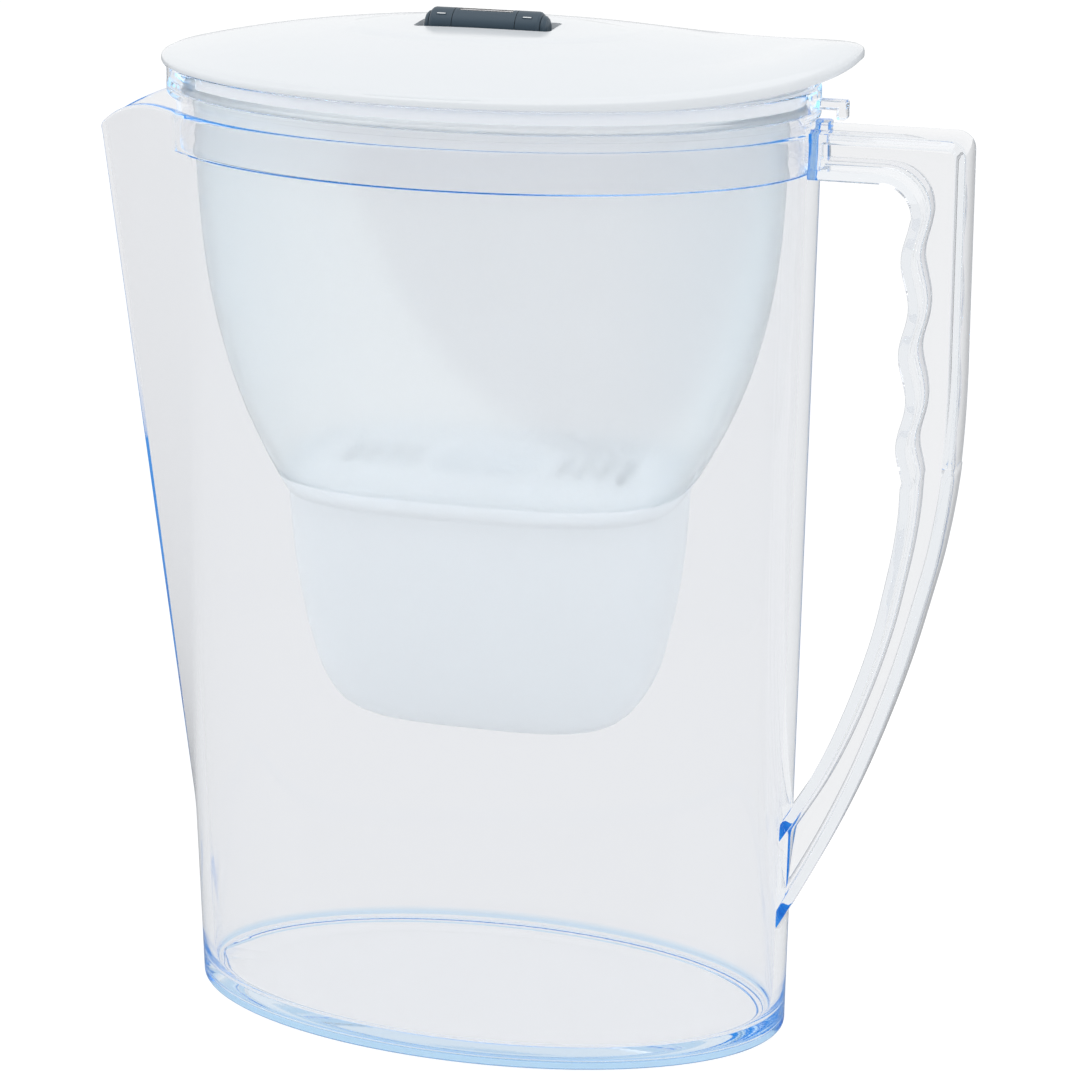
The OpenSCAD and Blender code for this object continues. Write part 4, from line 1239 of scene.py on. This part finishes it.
def make_lid_shell(form):
    s = form.s
    shares = [0.03, 0.08, 0.14, 0.2, 0.26, 0.31, 0.35, 0.38, 0.405, 0.43, 0.46, 0.5, 0.55, 0.6,
              0.65, 0.7, 0.74, 0.78, 0.82, 0.855, 0.885, 0.91, LID_FLAT, 0.95, 0.965, 0.98]
    rings = [list(zip(*form.ring(u))) for u in shares]
    top_z = form.ring(1.0)[2]
    low_z = np.maximum(s.base, top_z - EDGE_DEEP)
    for out, down in ((-0.75, 0.06), (-0.4, 0.2), (-0.15, 0.45), (0.0, 0.9)):
        x, y, _ = form.ring(1.0, 0.0, out)
        rings.append(list(zip(x, y, top_z - down * (top_z - low_z) / EDGE_DEEP * 1.6)))
    for out, up in ((0.0, 0.9), (-0.12, 0.4), (-0.35, 0.12), (-0.8, 0.0)):
        x, y, _ = form.ring(1.0, 0.0, out)
        rings.append(list(zip(x, y, low_z + up * (top_z - low_z) / EDGE_DEEP * 0.9)))
    for u in reversed(shares):
        x, y, z = form.ring(u, s.skin)
        floor_z = s.base if u > LID_FLAT else s.base + 0.2
        under = np.maximum(floor_z, z)
        if u > LID_FLAT:
            share = (u - LID_FLAT) / (1 - LID_FLAT)
            under = np.maximum(floor_z, under * (1 - share) + low_z * share)
        rings.append(list(zip(x, y, under)))
    x, top = form.shift, form.middle()
    return closed_skin("white_lid", rings, CURVED_EDGE, (x, 0, top), (x, 0, top - s.skin))


def corner_outline(x0, x1, y0, y1, r, steps=6):
    """Outline of a rectangle with rounded corners."""
    pts = []
    for cx, cy, a0 in ((x1 - r, y1 - r, 0), (x0 + r, y1 - r, 90), (x0 + r, y0 + r, 180),
                       (x1 - r, y0 + r, 270)):
        for k in range(steps + 1):
            t = math.radians(a0 + 90 * k / steps)
            pts.append((cx + r * math.cos(t), cy + r * math.sin(t)))
    return pts


class PITCHER_OT_lid(bpy.types.Operator):
    """Make the domed white lid with its thumb brim and the pocket for the dials"""

    bl_idname = "pitcher.lid"
    bl_label = "Lid"

    def execute(self, context):
        s = sizes("lid")
        form = LidForm(s, sizes("hopper").shift)
        lid = make_lid_shell(form)
        low, high = [np.array(v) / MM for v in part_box("indicator_tray")]
        # the tray is a block under the dome with a pocket in it
        block = prism("tray_block", corner_outline(low[0], high[0], low[1], high[1], 2.5), low[2],
                      s.base + 14)
        rings = [list(zip(*form.ring(u))) for u in (0.03, 0.14, 0.26, 0.35, 0.5, 0.7, 0.9)]
        rings.append([(x, y, low[2] - 2) for x, y, z in rings[-1]])
        cover = closed_skin("cover", rings, start=(form.shift, 0, form.middle()),
                            end=(form.shift, 0, low[2] - 2))
        combine(block, cover, "INTERSECT")
        combine(lid, block, "UNION", CURVED_EDGE)
        inside = corner_outline(low[0] + TRAY_WALL, high[0] - TRAY_WALL, low[1] + TRAY_WALL,
                                high[1] - TRAY_WALL, 1.6)
        pocket = prism("pocket", inside, low[2] + TRAY_WALL, s.base + 20)
        combine(lid, pocket, "DIFFERENCE", CURVED_EDGE)
        combine(lid, hinge_rod("hinge_relief", 2.05, -8.4, 8.4), "DIFFERENCE", CURVED_EDGE)
        finish_piece(lid, material("white"), "lid", ("lid_shell", "indicator_tray"))
        dress_nodes("white", "lid_frame")
        return {"FINISHED"}


# ---- date dials ---------------------------------------------------------


DIAL_NODES = ("indicator_housing", "left_end_cap", "right_end_cap", "left_knob", "right_knob")


def marks_tree():
    """Repeats a small bar round an axle along X."""

    def fill(tree, given):
        points = add(tree, "GeometryNodeMeshCircle",
                     {"Vertices": given["Count"], "Radius": given["Radius"]})
        bar = add(tree, "GeometryNodeMeshCube", {"Size": given["Bar size"]})
        position = add(tree, "GeometryNodeInputPosition").outputs[0]
        face_out = add(tree, "FunctionNodeAlignRotationToVector", {"Vector": position}, axis="Z")
        place = add(tree, "GeometryNodeInstanceOnPoints",
                    {"Points": points.outputs["Mesh"], "Instance": bar.outputs["Mesh"],
                     "Rotation": face_out.outputs[0]})
        turn = add(tree, "GeometryNodeTransform",
                   {"Geometry": place.outputs[0], "Translation": given["Centre"],
                    "Rotation": (0, math.pi / 2, 0)})
        real = add(tree, "GeometryNodeRealizeInstances", {0: turn.outputs[0]})
        finish = add(tree, "GeometryNodeSetMaterial",
                     {"Geometry": real.outputs[0], "Material": given["Finish"]})
        return {0: finish.outputs[0]}

    inputs = {"Count": 12, "Radius": 0.003, "Centre": (0, 0, 0),
              "Bar size": (0.001, 0.0002, 0.0001), "Finish": None}
    return node_group("ring of marks", inputs, {"Geometry": "Geometry"}, fill,
                      "GeometryNodeTree")


def run_tree(name, tree, values):
    """A plain mesh object from a Geometry Nodes tree."""
    piece = raw_object(name, [], [])
    mod = piece.modifiers.new("tree", "NODES")
    mod.node_group = tree
    for item in tree.interface.items_tree:
        if item.item_type == "SOCKET" and item.in_out == "INPUT" and item.name in values:
            mod[item.identifier] = values[item.name]
    settle(piece)
    if not piece.data.polygons:
        raise RuntimeError(f"{name}: the tree made nothing")
    return piece


def figures_on_drum(name, numbers, x, height, radius, centre_z, stretch):
    """Flat printed two-place figures wrapped round a drum, as one mesh."""
    verts, faces = [], []
    deps = bpy.context.evaluated_depsgraph_get
    for k, number in enumerate(numbers):
        curve = bpy.data.curves.new("figure", "FONT")
        curve.body = f"{number:02d}"
        curve.size = height * MM * 1.35
        curve.align_x, curve.align_y = "CENTER", "CENTER"
        curve.resolution_u = 2
        text = new_object("figure", curve)
        mesh = bpy.data.meshes.new_from_object(text.evaluated_get(deps()))
        base = len(verts)
        start = 2 * math.pi * k / len(numbers)
        for v in mesh.vertices:
            angle = start + v.co.y / (radius * MM)
            r = radius + 0.02
            verts.append((x + stretch * v.co.x / MM, r * math.sin(angle),
                          centre_z + r * math.cos(angle)))
        faces += [tuple(base + i for i in p.vertices) for p in mesh.polygons]
        bpy.data.objects.remove(text, do_unlink=True)
        bpy.data.curves.remove(curve)
        bpy.data.meshes.remove(mesh)
    return raw_object(name, verts, faces)


def paint_gap_shade(d):
    """Paints shade: makes the slot above the drums and the gaps between the turning parts black
    inside, with the drums' black finish.
    """
    centre, axis = d.centre * MM, d.axis_height * MM
    for node in DIAL_NODES:
        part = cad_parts[node].data
        part.materials.append(material("drum"))
        for face in part.polygons:
            x, y, z = face.center
            across = abs(face.normal.x) > 0.95
            inwards = face.normal.x * (x - centre) < 0
            deep = math.hypot(y, z - axis) < (d.barrel_radius - 0.08) * MM and z > axis - 1 * MM
            if node == "indicator_housing" and deep or "knob" in node and across \
                    or "cap" in node and across and inwards:
                face.material_index = 1


class PITCHER_OT_dials(bpy.types.Operator):
    """Dress the date dials and print their figures"""

    bl_idname = "pitcher.dials"
    bl_label = "Date dials"

    def execute(self, context):
        d = sizes("dial")
        dress_nodes("slate", *DIAL_NODES, "indicator_axle")
        dress_nodes("lens", "indicator_window")
        dress_nodes("drum", "left_drum", "right_drum")
        paint_gap_shade(d)
        rows = (("left", range(1, d.months + 1), -3.6), ("right", range(1, 2 * d.days, 2), 3.8))
        for side, numbers, x in rows:
            print_ = figures_on_drum(f"{side}_figures", numbers, d.centre + x, d.figure_height,
                                     d.drum_radius, d.axis_height, d.stretch * MM)
            finish_piece(print_, material("figures"), f"{side}_dial")
            marks = run_tree(f"{side}_marks", marks_tree(), {
                "Count": len(numbers), "Radius": (d.drum_radius + 0.01) * MM,
                "Centre": ((d.centre + x * 0.28) * MM, 0.0, d.axis_height * MM),
                "Bar size": (0.00025, 0.0006, 0.00004), "Finish": material("figures")})
            finish_piece(marks, material("figures"), f"{side}_dial")
            # painted highlight: a pale line along the top of each raised index bar
            sign, turn = math.copysign(1, x), math.radians(40)
            ends = sorted(d.centre + sign * (d.bar_start + v) for v in (0.15, d.bar_length - 0.15))
            up = d.barrel_radius + d.bar_rise
            line = rounded_box(f"{side}_bar_highlight", (ends[0], -0.13, up - 0.02),
                               (ends[1], 0.13, up + 0.02), 0)
            line.data.transform(Matrix.Translation((0, 0, d.axis_height * MM))
                                @ Matrix.Rotation(turn, 4, "X"))
            finish_piece(line, material("figures"), f"{side}_dial")
        return {"FINISHED"}


# ---- cartridge ----------------------------------------------------------


class PITCHER_OT_cartridge(bpy.types.Operator):
    """Make the oval filter cartridge that hangs in the cup"""

    bl_idname = "pitcher.cartridge"
    bl_label = "Filter cartridge"

    def execute(self, context):
        h = sizes("hopper")
        cols, shift = 160, h.shift
        out, inner = h.cup_wall + 1.0, h.cup_wall + 2.3
        seat = h.neck_height
        flange = (h.neck_half_length - h.bowl_wall - 0.5, h.neck_half_width - h.bowl_wall - 0.5)

        outer = [cup_ring(h, x, y, d, out) for x, y, d in reversed(CUP_SHAPE)]
        a, b = outer[-1][:2]
        outer += [(a, b, seat, 3.1), (flange[0] - 0.3, flange[1] - 0.3, seat, 3.2),
                  (flange[0], flange[1], seat + 0.3, 3.2), (flange[0], flange[1], seat + 1.7, 3.2),
                  (flange[0] - 0.3, flange[1] - 0.3, seat + 2.0, 3.2)]
        bore = [cup_ring(h, x, y, d, inner) for x, y, d in CUP_SHAPE]
        a, b = bore[0][:2]
        outer += [(a, b, seat + 2.0, 3.1)] + bore
        casing = stack("cartridge_shell", outer, cols, shift)
        for k in range(-2, 3):
            x = shift + HOLE_PITCH * k
            slot = prism("outlet", corner_outline(x - 1, x + 1, -7, 7, 0.9), h.cup_base,
                         h.cup_base + 9)
            combine(casing, slot, "DIFFERENCE")
        finish_piece(casing, material("casing"), "cartridge", ("cartridge_casing",))

        low = seat + 2.0
        na, nb = h.neck_half_length * 0.985, h.neck_half_width * 0.98
        ta, tb = h.neck_half_length * 0.91, h.neck_half_width * 0.892
        well = low - 6.8
        face = [(5, 3, well, 2.6), (14, 9, well, 3.0), (14.7, 9.7, well + 0.2, 3.0),
                (15, 10, well + 0.8, 3.0),
                (15, 10, low + 2.4, 3.0), (15.2, 10.2, low + 2.85, 3.0),
                (15.7, 10.7, low + 3, 3.0),
                (25, 14, low + 3, 3.0), (ta - 12, tb - 12, low + 3, 3.1),
                (na - 8, nb - 8, low + 2.25, 3.1),
                (flange[0] - 0.6, flange[1] - 0.6, low + 1.4, 3.2),
                (flange[0] - 0.1, flange[1] - 0.1, low + 0.9, 3.2),
                (flange[0], flange[1], low + 0.2, 3.2)]
        under = [(flange[0] - 0.2, flange[1] - 0.2, low, 3.2), (na - 7.6, nb - 7.6, low, 3.1),
                 (ta - 14, tb - 14, low + 1.6, 3.1), (16.4, 11.4, low + 1.5, 3.0),
                 (16.4, 11.4, well - 0.4, 3.0),
                 (15.4, 10.4, well - 1.4, 3.0), (5, 3, well - 1.4, 2.6)]
        cap = stack("cartridge_top", face + under, cols, shift)
        for sign in (-1, 1):
            for k in range(4):
                x = shift + sign * (20.4 + 5.6 * k)
                slot = prism("inlet", corner_outline(x - 1, x + 1, -10, 10, 0.9), low - 2,
                             low + 6)
                combine(cap, slot, "DIFFERENCE")
        pull = rounded_box("pull", (shift - 15.4, -1.5, low + 0.8),
                           (shift + 15.4, 1.5, low + 2.8), 0.6)
        combine(cap, pull, "UNION")
        finish_piece(cap, material("casing"), "cartridge", ("cartridge_cap",))
        for sign, side in ((-1, "left"), (1, "right")):
            ends = sorted(shift + sign * v for v in (18.2, 34.5))
            mesh = rounded_box(f"{side}_inlet_mesh", (ends[0], -10.6, low + 1.35),
                               (ends[1], 10.6, low + 1.75), 0)
            finish_piece(mesh, material("screen"), "cartridge")

        top = h.neck_height - 1.6
        seal = []
        for k in range(5):
            z = top - 3.2 + 0.8 * k
            bulge = 0.25 if k % 2 else 0.0
            seal.append((h.neck_half_length * 0.983 - h.cup_wall - 0.6 + bulge,
                         h.neck_half_width * 0.976 - h.cup_wall - 0.55 + bulge, z, 3.1))
        rings = [ring(a, b, z, cols, shift, n) for a, b, z, n in seal]
        core = (h.neck_half_length * 0.985 - out + 0.02, h.neck_half_width * 0.98 - out + 0.02)
        rings += [ring(core[0] - 0.06, core[1] - 0.06, top, cols, shift, 3.1),
                  ring(core[0] - 0.3, core[1] - 0.3, top - 3.2, cols, shift, 3.1)]
        lips = closed_skin("cartridge_ring_seal", rings, SOFT_EDGE, wrap=True)
        finish_piece(lips, material("seal"), "cartridge", ("cartridge_seal",))
        dress_nodes("screen", "top_screen", "bottom_screen")
        dress_nodes("media", "filter_media")
        return {"FINISHED"}


# ---- panel and running order --------------------------------------------

STEPS = ("stage", "jug", "hopper", "lid", "dials", "cartridge")


class PITCHER_PT_panel(bpy.types.Panel):
    bl_idname = "PITCHER_PT_panel"
    bl_label = "Filter Pitcher"
    bl_space_type = "VIEW_3D"
    bl_region_type = "UI"
    bl_category = "Pitcher"

    def draw(self, context):
        for step in STEPS:
            self.layout.operator("pitcher." + step)
        for key in PROPERTY_GROUPS:
            group = getattr(context.scene, "pitcher_" + key)
            box = self.layout.box()
            box.label(text=key.capitalize())
            for name in property_names(group):
                box.prop(group, name)


CLASSES = (PITCHER_OT_stage, PITCHER_OT_jug, PITCHER_OT_hopper, PITCHER_OT_lid, PITCHER_OT_dials,
           PITCHER_OT_cartridge, PITCHER_PT_panel)


def register():
    for key, group in PROPERTY_GROUPS.items():
        bpy.utils.register_class(group)
        setattr(bpy.types.Scene, "pitcher_" + key, PointerProperty(type=group))
    for made in CLASSES:
        bpy.utils.register_class(made)


def unregister():
    for made in reversed(CLASSES):
        bpy.utils.unregister_class(made)
    for key, group in reversed(PROPERTY_GROUPS.items()):
        delattr(bpy.types.Scene, "pitcher_" + key)
        bpy.utils.unregister_class(group)


def main():
    register()
    for step in STEPS:
        getattr(bpy.ops.pitcher, step)()


if __name__ == "__main__":
    main()
